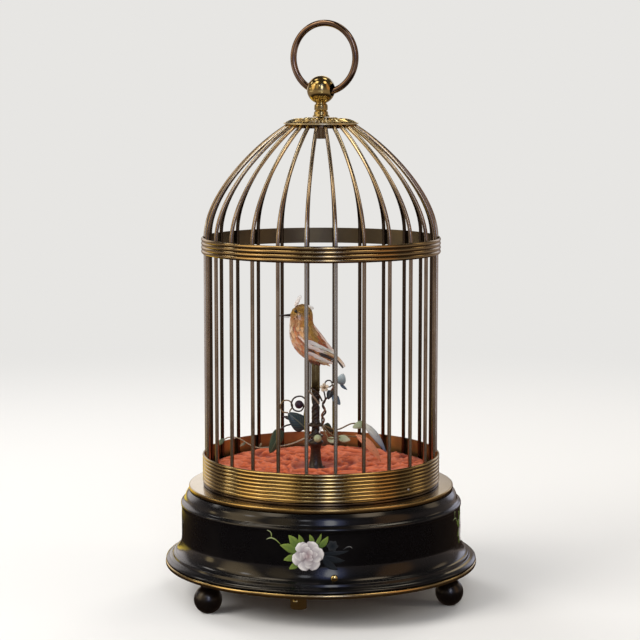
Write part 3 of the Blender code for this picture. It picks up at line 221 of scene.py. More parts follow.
camera = bpy.data.objects.new("camera", bpy.data.cameras.new("camera"))
camera.location = CAMERA_PLACE
camera.rotation_euler.x = math.pi / 2 - CAMERA_PITCH
camera.data.lens = CAMERA_LENS
camera.data.clip_start = 0.05
scene.collection.objects.link(camera)
scene.camera = camera

scene.world = bpy.data.worlds.new("studio")
scene.world.use_nodes = True
sky = Nodes(scene.world.node_tree)
seen = sky.add("ShaderNodeLightPath", {}, {}, 0)
mirrored = sky.add("ShaderNodeLightPath", {}, {}, 3) + sky.add("ShaderNodeLightPath", {}, {}, 6)
heading = sky.add("ShaderNodeTexCoord", {}, {}, 0)
climb = sky.along(heading, "Z")
room = sky.mix(climb.rise(0.05, 0.6), ROOM_LOW, ROOM_HIGH)
for azimuth, height, spread, tall, colour in MIRRORED_LIGHTS:
    squeezed = sky.vector("NORMALIZE", sky.vector("MULTIPLY", heading, (1, 1, 1 / tall)))
    aim = towards(azimuth, height)
    aim.z /= tall
    near = sky.vector("DOT_PRODUCT", squeezed, aim.normalized(), 1)
    edge, core = math.cos(math.radians(spread)), math.cos(math.radians(spread * LIGHT_CORE))
    room = sky.mix(near.rise(edge, core), room, colour)
fill = sky.mix(climb.rise(-0.2, 0.9), FILL_LOW, FILL_HIGH)
surround = sky.mix(seen, sky.mix(mirrored, fill, room), BACKDROP)
sky.join(sky.tree.nodes["Background"].inputs["Color"], surround)

for name, (azimuth, climb, distance, width, height, watts, colour) in SOFT_BOXES.items():
    lamp = bpy.data.lights.new(name, "AREA")
    lamp.shape = "RECTANGLE"
    lamp.size = width
    lamp.size_y = height
    lamp.energy = watts
    lamp.color = colour
    box = bpy.data.objects.new(name, lamp)
    away = towards(azimuth, climb) * distance
    box.location = CAGE_MIDDLE + away
    box.rotation_euler = away.to_track_quat("Z", "Y").to_euler()
    box.visible_glossy = False
    scene.collection.objects.link(box)

bm = bmesh.new()
bmesh.ops.create_circle(bm, cap_ends=True, segments=96, radius=FLOOR_RADIUS)
mesh = bpy.data.meshes.new("studio_floor")
bm.to_mesh(mesh)
bm.free()
floor = bpy.data.objects.new("studio_floor", mesh)
scene.collection.objects.link(floor)
paper = Finish("floor_paper", base_color=BACKDROP, roughness=0.7)
paper.feed(specular_ior_level=0.2)
reach = paper.vector("LENGTH", paper.place, out=1)
looked_at = paper.add("ShaderNodeLightPath", {}, {}, 0)
mirrored = paper.add("ShaderNodeLightPath", {}, {}, 3)
room_floor = paper.mix(reach.rise(*TABLE_REACH), TABLE_DARK, ROOM_FLOOR)
for colour, spot, size in (
    (LEFT_FLOOR, around(1.9, -88), 0.95),
    (FRONT_FLOOR, around(1.5, -4), 0.75),
    (YELLOW_PATCH, around(0.43, -152), 0.25),
    (WINDOW_STRIPE, around(1.5, 8), 0.26),
    (WINDOW_STRIPE, around(0.64, 8), 0.11),
):
    away = paper.vector("DISTANCE", paper.place, spot, 1)
    room_floor = paper.mix(1 - away.rise(size * 0.45, size), room_floor, colour)
glow = paper.add("ShaderNodeEmission", {}, {"Color": paper.mix(mirrored, BACKDROP, room_floor)})
far = reach.rise(*FLOOR_FADE) * looked_at
lit = Socket(paper, paper.shader.outputs[0])
blend = paper.add("ShaderNodeMixShader", {}, {0: far + mirrored, 1: lit, 2: glow})
paper.join(paper.tree.nodes["Material Output"].inputs["Surface"], blend)
mesh.materials.append(paper.material)


# Feet: three balls of dark stained wood, turned with a short neck that is screwed into the bottom
# plate, and with a small flat under each ball.
def soften(points, radius, steps=3):
    """Rounds the corners between the ends of a profile of (radius, height) points."""
    corners = [Vector(point) for point in points]
    rounded = [corners[0]]
    for before, corner, after in zip(corners, corners[1:], corners[2:]):
        ends = []
        for other in (before, after):
            way = other - corner
            ends.append(corner + way.normalized() * min(radius, way.length * 0.45))
        for k in range(steps + 1):
            t = k / steps
            rounded.append(ends[0] * (1 - t) ** 2 + corner * 2 * t * (1 - t) + ends[1] * t * t)
    rounded.append(corners[-1])
    return rounded


def spin(bm, geom, steps):
    """Spins vertices and edges once round the upright axis."""
    turn = {"cent": (0, 0, 0), "axis": (0, 0, 1), "angle": math.tau}
    bmesh.ops.spin(bm, geom=geom, steps=steps, use_merge=True, **turn)


def turned(profile, steps=128, centre=(0.0, 0.0), closed=True, bm=None):
    """Spins a profile about an upright axis. One that stays off the axis becomes a closed ring."""
    if bm is None:
        bm = bmesh.new()
    verts = [bm.verts.new((max(radius, 0.0), 0.0, height)) for radius, height in profile]
    edges = [bm.edges.new(pair) for pair in zip(verts, verts[1:])]
    if closed and profile[0][0] > 0 and profile[-1][0] > 0:
        edges.append(bm.edges.new((verts[-1], verts[0])))
    spin(bm, verts + edges, steps)
    bmesh.ops.translate(bm, verts=bm.verts, vec=(centre[0], centre[1], 0))
    return bm


def dish(radius, height, start, end, steps=12):
    """Profile points on a ball, from one elevation in degrees to another."""
    angles = [math.radians(start + (end - start) * k / steps) for k in range(steps + 1)]
    return [(radius * math.cos(angle), height + radius * math.sin(angle)) for angle in angles]


def fit(name, bm, finish, body="cage", nodes=(), crease=40):
    """Makes a finished piece of a mesh, on a body, in place of the nodes that it stands for."""
    bmesh.ops.remove_doubles(bm, verts=bm.verts, dist=2e-6)
    bmesh.ops.recalc_face_normals(bm, faces=bm.faces)
    mesh = bpy.data.meshes.new(name)
    bm.to_mesh(mesh)
    bm.free()
    mesh.shade_smooth()
    mesh.set_sharp_from_angle(angle=math.radians(crease))
    mesh.materials.append(finish.material)
    piece = bpy.data.objects.new(name, mesh)
    scene.collection.objects.link(piece)
    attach(piece, body)
    if nodes:
        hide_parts(*nodes)
    return piece


FOOT_BALL = 0.007
FOOT_PAD = 0.0022
FOOT_NECK = 0.0035
stained_wood = Finish("stained_wood", roughness=0.30, coat_weight=0.5, coat_roughness=0.22)
figure = stained_wood.grain(stained_wood.place, 260.0, 3.0, (1.0, 1.0, 0.25))
stained_wood.feed(base_color=stained_wood.mix(figure, (0.0015, 0.0012, 0.0012), (0.007, 0.004, 0.003)))
stained_wood.bump(figure, 0.0001)
for name in ("foot_left", "foot_right", "foot_back"):
    low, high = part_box(name)
    start = -math.degrees(math.acos(FOOT_PAD / FOOT_BALL))
    end = math.degrees(math.acos(FOOT_NECK / FOOT_BALL))
    ball = dish(FOOT_BALL, math.sqrt(FOOT_BALL**2 - FOOT_PAD**2), start, end, 20)
    profile = [(0, low.z), *ball, (FOOT_NECK, high.z), (0, high.z)]
    bm = turned(profile, 48, (low + high) / 2)
    fit(name + "_ball", bm, stained_wood, nodes=[name])


# Bottom plate: spun brass with a rolled gilt rim that stands a little outside the casing. The
# winding key's arbor passes up through it.
def brass(name, colour, tarnish, share=(0.45, 0.75), roughness=0.2):
    """Lacquered brass with cloudy tarnish and faint marks of the lathe and of wiping."""
    metal = Finish(name, metallic=1.0)
    cloud = metal.grain(metal.place, 60.0, 4.0)
    fine = metal.grain(metal.place, 700.0, 3.0, (1.0, 1.0, 3.0))
    metal.feed(base_color=metal.mix((cloud * 0.93 + fine * 0.07).rise(*share), colour, tarnish))
    metal.feed(roughness=fine * 0.03 + cloud * 0.12 + (roughness - 0.075))
    metal.bump(fine, 0.000003, 0.15)
    return metal


RIM_ROLL = 0.0012
BOTTOM_SHEET = 0.0018
PLATE_SEAT = 0.06725
gilt = brass("gilt_brass", (0.66, 0.51, 0.25), (0.36, 0.26, 0.12))
low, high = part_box("bottom_plate")
rim = high.x
key_low, key_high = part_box("winding_key")
profile = soften(
    [
        (0, low.z),
        (rim, low.z),
        (rim, high.z),
        (PLATE_SEAT, high.z),
        (PLATE_SEAT, low.z + BOTTOM_SHEET),
        (0, low.z + BOTTOM_SHEET),
    ],
    RIM_ROLL,
    5,
)
fit("gilt_bottom_plate", turned(profile, 192), gilt, nodes=["bottom_plate"])


# Casing: turned wood with a flange, a cove and a bead at the shoulder, black lacquered and rubbed
# to a gloss. The movement stands inside it.
CASING_BORE = 0.066
CASING_WALL = 0.0707
low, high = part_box("base_casing")
casing_low, casing_high = low.z, high.z
flange = high.x
casing_outline = [
    (flange, low.z),
    (flange, low.z + 0.0007),
    (flange - 0.0012, low.z + 0.0017),
    (flange - 0.0032, low.z + 0.0022),
    (CASING_WALL + 0.0047, low.z + 0.0028),
    (CASING_WALL + 0.0044, low.z + 0.0038),
    (CASING_WALL + 0.0029, low.z + 0.0041),
    (CASING_WALL + 0.0018, low.z + 0.0054),
    (CASING_WALL + 0.0008, low.z + 0.0075),
    (CASING_WALL, low.z + 0.0107),
    (CASING_WALL, high.z - 0.0084),
    (CASING_WALL + 0.0004, high.z - 0.0078),
    (CASING_WALL + 0.0005, high.z - 0.0066),
    (CASING_WALL + 0.0001, high.z - 0.0059),
    (CASING_WALL - 0.0013, high.z - 0.0052),
    (CASING_WALL - 0.0021, high.z - 0.0022),
    (CASING_WALL - 0.0037, high.z),
]
casing_profile = soften(casing_outline, 0.0012, 4)
lacquer = Finish(
    "black_lacquer", coat_weight=1.0, coat_roughness=0.10, coat_ior=1.42, specular_ior_level=0.15
)
haze = lacquer.grain(lacquer.place, 45.0, 4.0)
dust = lacquer.grain(lacquer.place, 1500.0, 1.0)
lacquer.feed(base_color=lacquer.mix(haze.rise(0.45, 0.8), (0.0016, 0.0016, 0.0022), (0.0045, 0.004, 0.004)))
lacquer.feed(roughness=haze * 0.20 + dust * 0.06 + 0.16)
lacquer.bump(haze * 0.8 + dust * 0.2, 0.00008, 0.4)
profile = [(CASING_BORE, casing_low), *casing_profile, (CASING_BORE, casing_high)]
fit("lacquered_casing", turned(profile, 192), lacquer, nodes=["base_casing"])


# Painted sprays: four traditional rose sprays, brushed on the casing's wall in oil colour a quarter
# turn apart. Each stroke is a thin raised patch of paint that follows the wall.
def sheets():
    """A new mesh whose points carry a colour and their place across and along a blade."""
    bm = bmesh.new()
    bm.verts.layers.float_color.new("paint")
    bm.verts.layers.float_vector.new("flow")
    return bm


def clamp(value, most=1.0):
    return max(0.0, min(most, value))


def tint(first, second, share):
    return tuple(a + (b - a) * share for a, b in zip(first, second))


def blade(bm, route, facing, width, outline, shade, camber=0.0, cells=(4, 6)):
    """Adds a thin petal, leaf or feather along a curve from a start past a middle to an end.

    The outline gives the share of the half width at a share of the length, and shade gives the colour
    there. A camber lifts the middle above the edges.
    """
    paint = bm.verts.layers.float_color["paint"]
    flow = bm.verts.layers.float_vector["flow"]
    start, middle, end = (Vector(point) for point in route)
    grid = bmesh.ops.create_grid(bm, x_segments=cells[0], y_segments=cells[1], size=1.0)
    for vert in grid["verts"]:
        across, along = vert.co.x, (vert.co.y + 1) / 2
        rest = 1 - along
        spot = start * rest**2 + middle * 2 * along * rest + end * along**2
        ahead = ((middle - start) * rest + (end - middle) * along).normalized()
        side = ahead.cross(facing).normalized()
        up = side.cross(ahead)
        half = width * outline(along)
        vert.co = spot + side * across * half + up * camber * half * (1 - across * across)
        vert[paint] = (*shade(across, along), 1.0)
        vert[flow] = (across, along, 0.0)


def petal_outline(along):
    return along**0.55 * math.sqrt(max(0.0, 1.02 - along**4))


def leaf_outline(along):
    return math.sin(math.pi * along**0.8) ** 0.9 + 0.03


def stroke_outline(along):
    return 0.35 + 0.65 * math.sin(math.pi * along)


def strokes(bottom, top):
    """A shade that runs from one colour at the root to another at the tip, darker down the middle."""
    return lambda across, along: tint(tint(bottom, top, along), bottom, 0.35 * (1 - abs(across)) ** 3)


def cupped(root_shade, rim_shade, side):
    """A petal's shade, shadowed at the root and on one side, with a bright rim."""

    def shade(across, along):
        lit = along**1.5 * (0.85 + 0.45 * across * side)
        return tint(root_shade, rim_shade, clamp(lit + 0.3 * (along > 0.88)))

    return shade


def wall_radius(height):
    """How far the casing's wall stands from its axis at a height."""
    for lower, upper in zip(casing_profile, casing_profile[1:]):
        if lower[1] <= height <= upper[1] and upper[1] > lower[1]:
            share = (height - lower[1]) / (upper[1] - lower[1])
            return lower[0] + (upper[0] - lower[0]) * share
    return CASING_WALL


ROSE_WHITE = (0.74, 0.70, 0.68)
ROSE_BLUSH = (0.22, 0.185, 0.21)
ROSE_HEART = (0.34, 0.22, 0.23)
LEAF_LIGHT = (0.19, 0.25, 0.045)
LEAF_DEEP = (0.045, 0.090, 0.018)
NIGHT_BLUE = (0.004, 0.007, 0.011)
ROSE_HEIGHT = 0.0352
SPRAY_AZIMUTHS = (-4.9, 85.1, 175.1, 265.1)
PAINT_FACING = Vector((0, 0, 1))
PAINT_THICKNESS = 0.00005
TENDRIL = 0.00028


def mm(across, up, lift=0.0):
    return Vector((across, up, lift)) / 1000


def paint_leaf(bm, root, tip, width, root_shade, tip_shade, lift=0.03):
    """A painted leaf between two places on the field, in millimetres, bowed to one side."""
    middle = (Vector(root) + Vector(tip)) / 2
    sag = Vector((tip[1] - root[1], root[0] - tip[0])) * 0.12
    route = (mm(*root, lift), mm(*(middle + sag), lift), mm(*tip, lift))
    blade(bm, route, PAINT_FACING, width / 1000, leaf_outline, strokes(root_shade, tip_shade), 0.01)


def paint_spray(bm):
    """One spray on a flat field: X along the wall, Y up from the rose's heart, Z off the wall."""
    leaves = [
        ((-4, 1), (-13.8, 4.6), 2.2), ((-5, 3), (-9.6, 9.8), 2.1), ((-5, -1), (-12.0, -2.6), 1.7),
        ((-3, 4), (-4.6, 10.2), 1.4), ((2, 5), (0.6, 10.4), 1.2), ((5, 4), (9.4, 9.6), 1.5),
        ((-4, -4), (-9.2, -6.8), 1.5), ((3, 4.5), (6.2, 11.0), 0.9),
    ]
    for root, tip, width in leaves:
        paint_leaf(bm, root, tip, width, LEAF_DEEP, LEAF_LIGHT)
    night_leaves = (((7, 0), (17.5, -2.5), 1.7), ((7, -1), (14, -6.8), 1.9), ((7, 1.5), (19.5, 2.4), 1.1))
    for root, tip, width in night_leaves:
        paint_leaf(bm, root, tip, width, NIGHT_BLUE, tint(NIGHT_BLUE, ROSE_WHITE, 0.015))
    heart = Vector((11.5, 4.8))
    petal_blue = tint(NIGHT_BLUE, ROSE_WHITE, 0.035)
    for k in range(6):
        tip = heart + Matrix.Rotation(math.tau * k / 6, 2) @ Vector((2.9, 0))
        paint_leaf(bm, heart, tip, 1.3, NIGHT_BLUE, petal_blue, 0.05)
    tendrils = (
        ((-13.5, 5), (-17.5, 9.5), (-20.5, 7.0), LEAF_LIGHT),
        ((-18.2, 8.2), (-17.5, 11.0), (-20.2, 11.6), LEAF_LIGHT),
        ((16.5, 2.6), (19.5, 5.5), (21.0, 3.4), NIGHT_BLUE),
    )
    for start, middle, end, colour in tendrils:
        route = (mm(*start, 0.03), mm(*middle, 0.03), mm(*end, 0.03))
        shade = strokes(colour, tint(colour, ROSE_WHITE, 0.25))
        blade(bm, route, PAINT_FACING, TENDRIL, stroke_outline, shade, 0, (1, 8))
    # The rose's rows, outermost first: petals, reach, half width, root, lift and first angle.
    rows = (
        (6, 8.1, 4.2, 1.6, 0.05, 11), (5, 6.5, 3.6, 1.1, 0.10, 47), (4, 4.8, 2.9, 0.6, 0.16, 10),
        (3, 3.2, 2.2, 0.0, 0.22, 60), (2, 1.7, 1.3, -0.3, 0.27, 20),
    )
    chance = random.Random(7)
    for count, tip, half_width, root, lift, start in rows:
        for k in range(count):
            angle = math.radians(start + 360 * k / count + chance.uniform(-9, 9))
            way = Vector((math.cos(angle), math.sin(angle)))
            long = tip * chance.uniform(0.90, 1.08)
            bend = Vector((-way.y, way.x)) * chance.uniform(-0.8, 0.8)
            low, mid, top = way * root, way * (long * 0.5) + bend, way * long
            route = (mm(*low, lift), mm(*mid, lift + 0.03), mm(*top, lift * 0.6))
            root_shade = tint(ROSE_HEART, ROSE_BLUSH, min(1.0, tip / 6))
            rim_shade = tint(ROSE_WHITE, ROSE_BLUSH, 0.25 * chance.random())
            shade = cupped(root_shade, rim_shade, chance.choice((-1, 1)))
            blade(bm, route, PAINT_FACING, half_width / 1000, petal_outline, shade, 0.03, (8, 10))


def thicken(piece, thickness, offset=-1.0):
    """Gives a thin piece its wall, inwards unless the offset says otherwise."""
    wall = piece.modifiers.new("wall", "SOLIDIFY")
    wall.thickness = thickness
    wall.offset = offset


oil_paint = Finish("oil_paint", roughness=0.45, coat_weight=0.06, coat_roughness=0.2, specular_ior_level=0.08)
colour = oil_paint.attribute("paint")
bristle = oil_paint.grain(oil_paint.place, 1400.0, 3.0, (1.0, 1.0, 0.5))
oil_paint.feed(base_color=oil_paint.mix(bristle * 0.35, colour, (0.02, 0.02, 0.02)))
oil_paint.bump(bristle, 0.00008, 0.7)
for k, azimuth in enumerate(SPRAY_AZIMUTHS):
    bm = sheets()
    paint_spray(bm)
    for vert in bm.verts:
        height = ROSE_HEIGHT + vert.co.y
        lift = vert.co.z + 0.00002
        vert.co = around(wall_radius(height) + lift, azimuth + math.degrees(vert.co.x / CASING_WALL), height)
    spray = fit("rose_spray_%d" % (k + 1), bm, oil_paint, crease=80)
    thicken(spray, PAINT_THICKNESS, 0.0)


# Movement: plates, barrel, wheels, bellows and whistle, which stay out of sight in the casing. Their
# brass is matt and a little greasy, the steel is ground, and the bellows is wood and thin skin.
movement_brass = brass("movement_brass", (0.66, 0.47, 0.19), (0.38, 0.26, 0.10), roughness=0.34)
steel = Finish("ground_steel", metallic=1.0)
scratch = steel.grain(steel.place, 500.0, 4.0, (1.0, 1.0, 6.0))
steel.feed(base_color=steel.mix(scratch, (0.34, 0.33, 0.33), (0.58, 0.58, 0.60)))
steel.feed(roughness=scratch * 0.25 + 0.22)
steel.bump(scratch, 0.00003)
board = Finish("bellows_board", roughness=0.6)
rings = board.grain(board.place, 320.0, 4.0, (0.12, 1.0, 1.0))
board.feed(base_color=board.mix(rings, (0.20, 0.11, 0.05), (0.38, 0.24, 0.13)))
board.bump(rings, 0.0002)
HIDDEN = {
    "movement_frame": movement_brass, "mainspring_barrel": movement_brass, "drive_wheel": movement_brass,
    "whistle": movement_brass, "cam_stack": steel, "governor_fly": steel, "whistle_piston": steel,
    "bellows": board, "bellows_flap": board,
}
for name, finish in HIDDEN.items():
    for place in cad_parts[name].material_slots:
        place.material = finish.material


# Start knob: a small domed brass button low in the cove. It is pushed in to start and stop the song,
# on a stem that runs through the wall.
low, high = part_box("start_knob")
middle = (low + high) / 2
KNOB = (high.z - low.z) / 2
KNOB_STEM = 0.0008
KNOB_HEAD = 0.0019
polished = brass("polished_brass", (0.62, 0.48, 0.20), (0.33, 0.24, 0.10), roughness=0.13)
# A brighter copy of the polished brass, which paints a highlight onto the knob and light onto the key in the
# shade under the base.
painted_highlight_brass = brass("painted_highlight_brass", (0.95, 0.78, 0.34), (0.80, 0.60, 0.24), roughness=0.12)
face = -low.y
profile = [(0, -high.y), (KNOB_STEM, -high.y), (KNOB_STEM, face - KNOB_HEAD), (KNOB, face - KNOB_HEAD)]
profile += [(KNOB, face - KNOB_HEAD * 0.55), (KNOB * 0.8, face - KNOB_HEAD * 0.2), (0, face)]
bm = turned(soften(profile, 0.0004), 48)
bmesh.ops.rotate(bm, verts=bm.verts, matrix=Matrix.Rotation(math.pi / 2, 3, "X"))
bmesh.ops.translate(bm, verts=bm.verts, vec=(middle.x, 0, middle.z))
fit("brass_start_knob", bm, painted_highlight_brass, "knob", ["start_knob"])


# Winding key: a turned hub with two flat wings, under the bottom plate. It is in one piece with
# the arbor that winds the barrel.
KEY_HUB = 0.004
KEY_ARBOR = 0.0022
KEY_WING = 0.011
KEY_SHEET = 0.0022
KEY_TURN = 8.0
KEY_STEP = 0.002
KEY_ROOM = 0.004
ARBOR_SHOULDER = 0.0018
hub_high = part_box("bottom_plate")[0].z - KEY_ROOM
arbor_high = key_high.z - ARBOR_SHOULDER
key_middle = (key_low + key_high) / 2
profile = [(0, key_low.z), (KEY_HUB, key_low.z), (KEY_HUB, hub_high), (KEY_ARBOR, hub_high)]
profile.append((KEY_ARBOR, arbor_high))
bm = turned(soften(profile + [(0, arbor_high)], 0.0006), 48)
wing = bmesh.new()
lobe = (hub_high - key_low.z - KEY_STEP) / 2
wing_reach = KEY_WING - lobe
for side in (-1, 1):
    lie = Matrix.Translation((side * wing_reach, 0, 0)) @ Matrix.Rotation(math.pi / 2, 4, "X")
    bmesh.ops.create_cone(
        wing, cap_ends=True, segments=40, radius1=lobe, radius2=lobe, depth=KEY_SHEET, matrix=lie
    )
web = Matrix.Diagonal((2 * wing_reach, KEY_SHEET * 0.8, 1.5 * lobe, 1))
bmesh.ops.create_cube(wing, size=1.0, matrix=web)
sharp = [edge for edge in wing.edges if edge.calc_face_angle(0) > 1]
bmesh.ops.bevel(wing, geom=sharp, offset=0.0003, segments=3, profile=0.5, affect="EDGES", material=-1)
swing = Matrix.Rotation(math.radians(90 - KEY_TURN), 4, "Z")
lift = Matrix.Translation((0, 0, key_low.z + KEY_STEP + lobe))
bmesh.ops.transform(wing, matrix=lift @ swing, verts=wing.verts)
wing_mesh = bpy.data.meshes.new("key_wings")
wing.to_mesh(wing_mesh)
wing.free()
bm.from_mesh(wing_mesh)
bmesh.ops.translate(bm, verts=bm.verts, vec=(key_middle.x, key_middle.y, 0))
# The key takes the brighter brass, painted light on a piece in the shade under the base.
fit("brass_winding_key", bm, painted_highlight_brass, "key", ["winding_key"], 50)


# Top plate and cage floor: a gilt plate on the casing's shoulder, and on it the drum with a thin
# flange that the cage is fixed to.
# A painted reflection: the greyer colour of the top plate's flat upper face.
TOP_FACE_PAINTED_REFLECTION = (0.38, 0.335, 0.265)
DRUM_RADIUS = 0.0565
FLANGE_SHEET = 0.00085
low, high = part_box("top_plate")
profile = [(0, low.z), (high.x, low.z), (high.x, high.z), (0, high.z)]
plate_gilt = brass("plate_gilt", (0.68, 0.48, 0.19), (0.42, 0.29, 0.11))
# The flat top face of the plate takes a greyer colour, a painted reflection of the pale surround it faces.
worn_gilt = plate_gilt.current("Base Color")
reflecting_top_face = plate_gilt.along(plate_gilt.place, "Z").rise(high.z - 0.0002, high.z - 0.00001)
plate_gilt.feed(base_color=plate_gilt.mix(reflecting_top_face, worn_gilt, TOP_FACE_PAINTED_REFLECTION))
bm = turned(soften(profile, 0.0007, 5), 192)
fit("gilt_top_plate", bm, plate_gilt, nodes=["top_plate"])
low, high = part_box("cage_floor")
aged = brass("aged_brass", (0.25, 0.185, 0.115), (0.115, 0.080, 0.052), (0.35, 0.75), 0.17)
profile = [(0, low.z), (high.x, low.z), (high.x, low.z + FLANGE_SHEET), (DRUM_RADIUS, low.z + FLANGE_SHEET)]
profile += [(DRUM_RADIUS, high.z), (0, high.z)]
fit("brass_floor_drum", turned(soften(profile, 0.0002), 160), aged, nodes=["cage_floor"])


# Floor cloth: a round of orange-red silk, crumpled and laid on the drum, with a hole round the
# trunk's foot. It keeps the sharp small creases of a cloth that was crushed by hand.
CLOTH_HOLE = 0.0049
CLOTH_MARGIN = 0.0002
CLOTH_LIFT = 0.0008
CLOTH_RINGS = 84
SILK_SHEET = 0.0002
CREASE = 0.0024
CREASE_SEED = 1795709363
CREASES_PER_METRE = 105
WARPS_PER_METRE = 75
WRINKLES_PER_METRE = 700
WEAVE = 16000.0
SHADED_RED = (0.24, 0.032, 0.012)
BRIGHT_RED = (0.63, 0.145, 0.056)
FADED_RED = (0.72, 0.23, 0.11)
low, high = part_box("floor_cloth")
stand_x = (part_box("tree_trunk")[0].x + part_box("tree_trunk")[1].x) / 2


def crumple(spot):
    """Height share of the creases: sharp ridges between flat facets, drawn out by a slow warp."""
    warped = spot * CREASES_PER_METRE + noise.noise_vector(spot * WARPS_PER_METRE) * 1.1
    folds = 1 - abs(noise.noise(warped)) * 2.6
    small = 1 - abs(noise.noise(warped * 2.3 + Vector((5, 3, 1)))) * 2.4
    return 0.62 * folds + 0.30 * small + 0.12 * noise.noise(spot * WRINKLES_PER_METRE)


width = high.x - CLOTH_MARGIN - CLOTH_HOLE
profile = [(CLOTH_HOLE + width * k / CLOTH_RINGS, 0.0) for k in range(CLOTH_RINGS + 1)]
bm = turned(profile, 300, closed=False)
noise.seed_set(CREASE_SEED)
for vert in bm.verts:
    share = (math.hypot(vert.co.x, vert.co.y) - CLOTH_HOLE) / width
    vert.co.z = low.z + CLOTH_LIFT + CREASE * crumple(vert.co) * min(1.0, 6 * share, 9 * (1.02 - share))
    vert.co.z = max(vert.co.z, low.z + SILK_SHEET)
    vert.co.x += stand_x * (1 - share)
silk = Finish("crumpled_silk", sheen_weight=0.10, sheen_roughness=0.4, specular_ior_level=0.25)
weave_x = (silk.along(silk.place, "X") * WEAVE).wave("SINE")
weave_y = (silk.along(silk.place, "Y") * WEAVE).wave("SINE")
stain = silk.grain(silk.place, 120.0, 5.0)
# The red darkens from the crease tops down into the hollows between them: painted shade in the creases.
lift = (silk.along(silk.place, "Z") - (low.z + CLOTH_LIFT)) * (1 / CREASE)
colour_and_shade = silk.mix(lift.rise(0.05, 0.85), SHADED_RED, BRIGHT_RED)
silk.feed(base_color=silk.mix(stain.rise(0.5, 0.8) * 0.4, colour_and_shade, FADED_RED), roughness=stain * 0.3 + 0.50)
silk.bump(weave_x * weave_y * 0.5 + stain, 0.00012, 0.5)
cloth = fit("crumpled_cloth", bm, silk, nodes=["floor_cloth"], crease=90)
thicken(cloth, SILK_SHEET)


# Bands: brass strip, rolled with half-round ridges and bent round the rods, eight ridges at the foot
# of the cage and four at the foot of the dome. The inside is plain.
BAND_BORE = 0.05922
BAND_VALLEY = 0.05955
BETWEEN_BANDS = (0.10, 0.17)
GROOVE_TARNISH = (0.17, 0.115, 0.050)
UPPER_INSIDE = (0.15, 0.135, 0.105)
UPPER_OUTSIDE = (0.34, 0.24, 0.14)
band_brass = brass("band_brass", (0.62, 0.46, 0.20), (0.40, 0.28, 0.11), (0.45, 0.85), 0.16)
flat = band_brass.vector("MULTIPLY", band_brass.place, (1, 1, 0))
reach = band_brass.vector("LENGTH", flat, out=1)
outside = reach.rise(BAND_BORE + 0.00002, BAND_VALLEY - 0.00005)
crown = reach.rise(BAND_VALLEY, BAND_VALLEY + 0.0003)
blotch = band_brass.grain(band_brass.place, 45.0, 5.0).rise(0.35, 0.65)
upper = band_brass.along(band_brass.place, "Z").rise(*BETWEEN_BANDS)
inside = band_brass.mix(blotch, (0.30, 0.24, 0.14), (0.62, 0.47, 0.20))
inside = band_brass.mix(upper * 0.8, inside, UPPER_INSIDE)
outer_brass = band_brass.mix(upper * 0.55, band_brass.current("Base Color"), UPPER_OUTSIDE)
rough = band_brass.current("Roughness") + (1 - outside) * 0.22
ribbed_brass = band_brass.mix(crown, GROOVE_TARNISH, outer_brass)
band_brass.feed(base_color=band_brass.mix(outside, inside, ribbed_brass), roughness=rough)


def ribbed_band(name, node, ridges):
    """A band with half-round ridges outside, one above another, from its bottom edge to its top."""
    low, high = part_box(node)
    pitch = (high.z - low.z) / ridges
    peak = high.x - 0.00003
    profile = [(BAND_BORE, low.z), (BAND_VALLEY, low.z)]
    for k in range(ridges):
        for step in range(1, 8):
            share = step / 8
            rise = math.sin(math.pi * share) ** 0.75
            profile.append((BAND_VALLEY + (peak - BAND_VALLEY) * rise, low.z + pitch * (k + share)))
        profile.append((BAND_VALLEY, low.z + pitch * (k + 1)))
    profile.append((BAND_BORE, high.z))
    return fit(name, turned(profile, 256), band_brass, nodes=[node], crease=75)


ribbed_band("ribbed_lower_band", "lower_band", 8)
ribbed_band("ribbed_upper_band", "upper_band", 4)


# Band screw: the small round-headed steel screw that closes the lower band. It sits low on the
# right of the front.
SCREW_AZIMUTH = 45.8
SCREW_HEIGHT = 0.0613
SCREW_HEAD = 0.0009
bm = turned([(0, 0), (SCREW_HEAD, 0), *dish(SCREW_HEAD, 0.0001, 10, 90, 8)], 32)
point_out = Matrix.Rotation(math.radians(SCREW_AZIMUTH), 4, "Z") @ Matrix.Rotation(math.pi / 2, 4, "X")
seat = Matrix.Translation(around(BAND_VALLEY - 0.0003, SCREW_AZIMUTH, SCREW_HEIGHT))
bmesh.ops.transform(bm, matrix=seat @ point_out, verts=bm.verts)
fit("band_screw", bm, steel)


# Cage bars: straight round rods, bent in to the dome and soldered to the crown disc at the top and
# to the drum's flange at the foot. They are browner than the bands, and light is painted into their
# colour: a painted highlight on the front of the dome, a grey painted reflection at the front, a pale
# painted reflection at the sides and painted shade, nearly black, at the back.
BAR_RADIUS = 0.00095
BAR_CIRCLE = 0.058
DOME_HEIGHT = 0.0562
DOME_TOP_RADIUS = 0.0163
DOME_TOP_TILT = math.radians(59.3)
SHOULDER_PULL = 0.0217
TOP_PULL = 0.0182
STRAIGHT_STEPS = 4
DOME_STEPS = 24
# Painted light in the bars' colour: a highlight on the front of the dome, shade at the back, a pale
# reflection at the sides and a grey reflection at the front.
DOME_PAINTED_HIGHLIGHT = (0.92, 0.80, 0.58)
BACK_PAINTED_SHADE = (0.085, 0.062, 0.042)
SIDE_PAINTED_REFLECTION = (0.84, 0.85, 0.86)
FRONT_PAINTED_REFLECTION = (0.52, 0.52, 0.50)


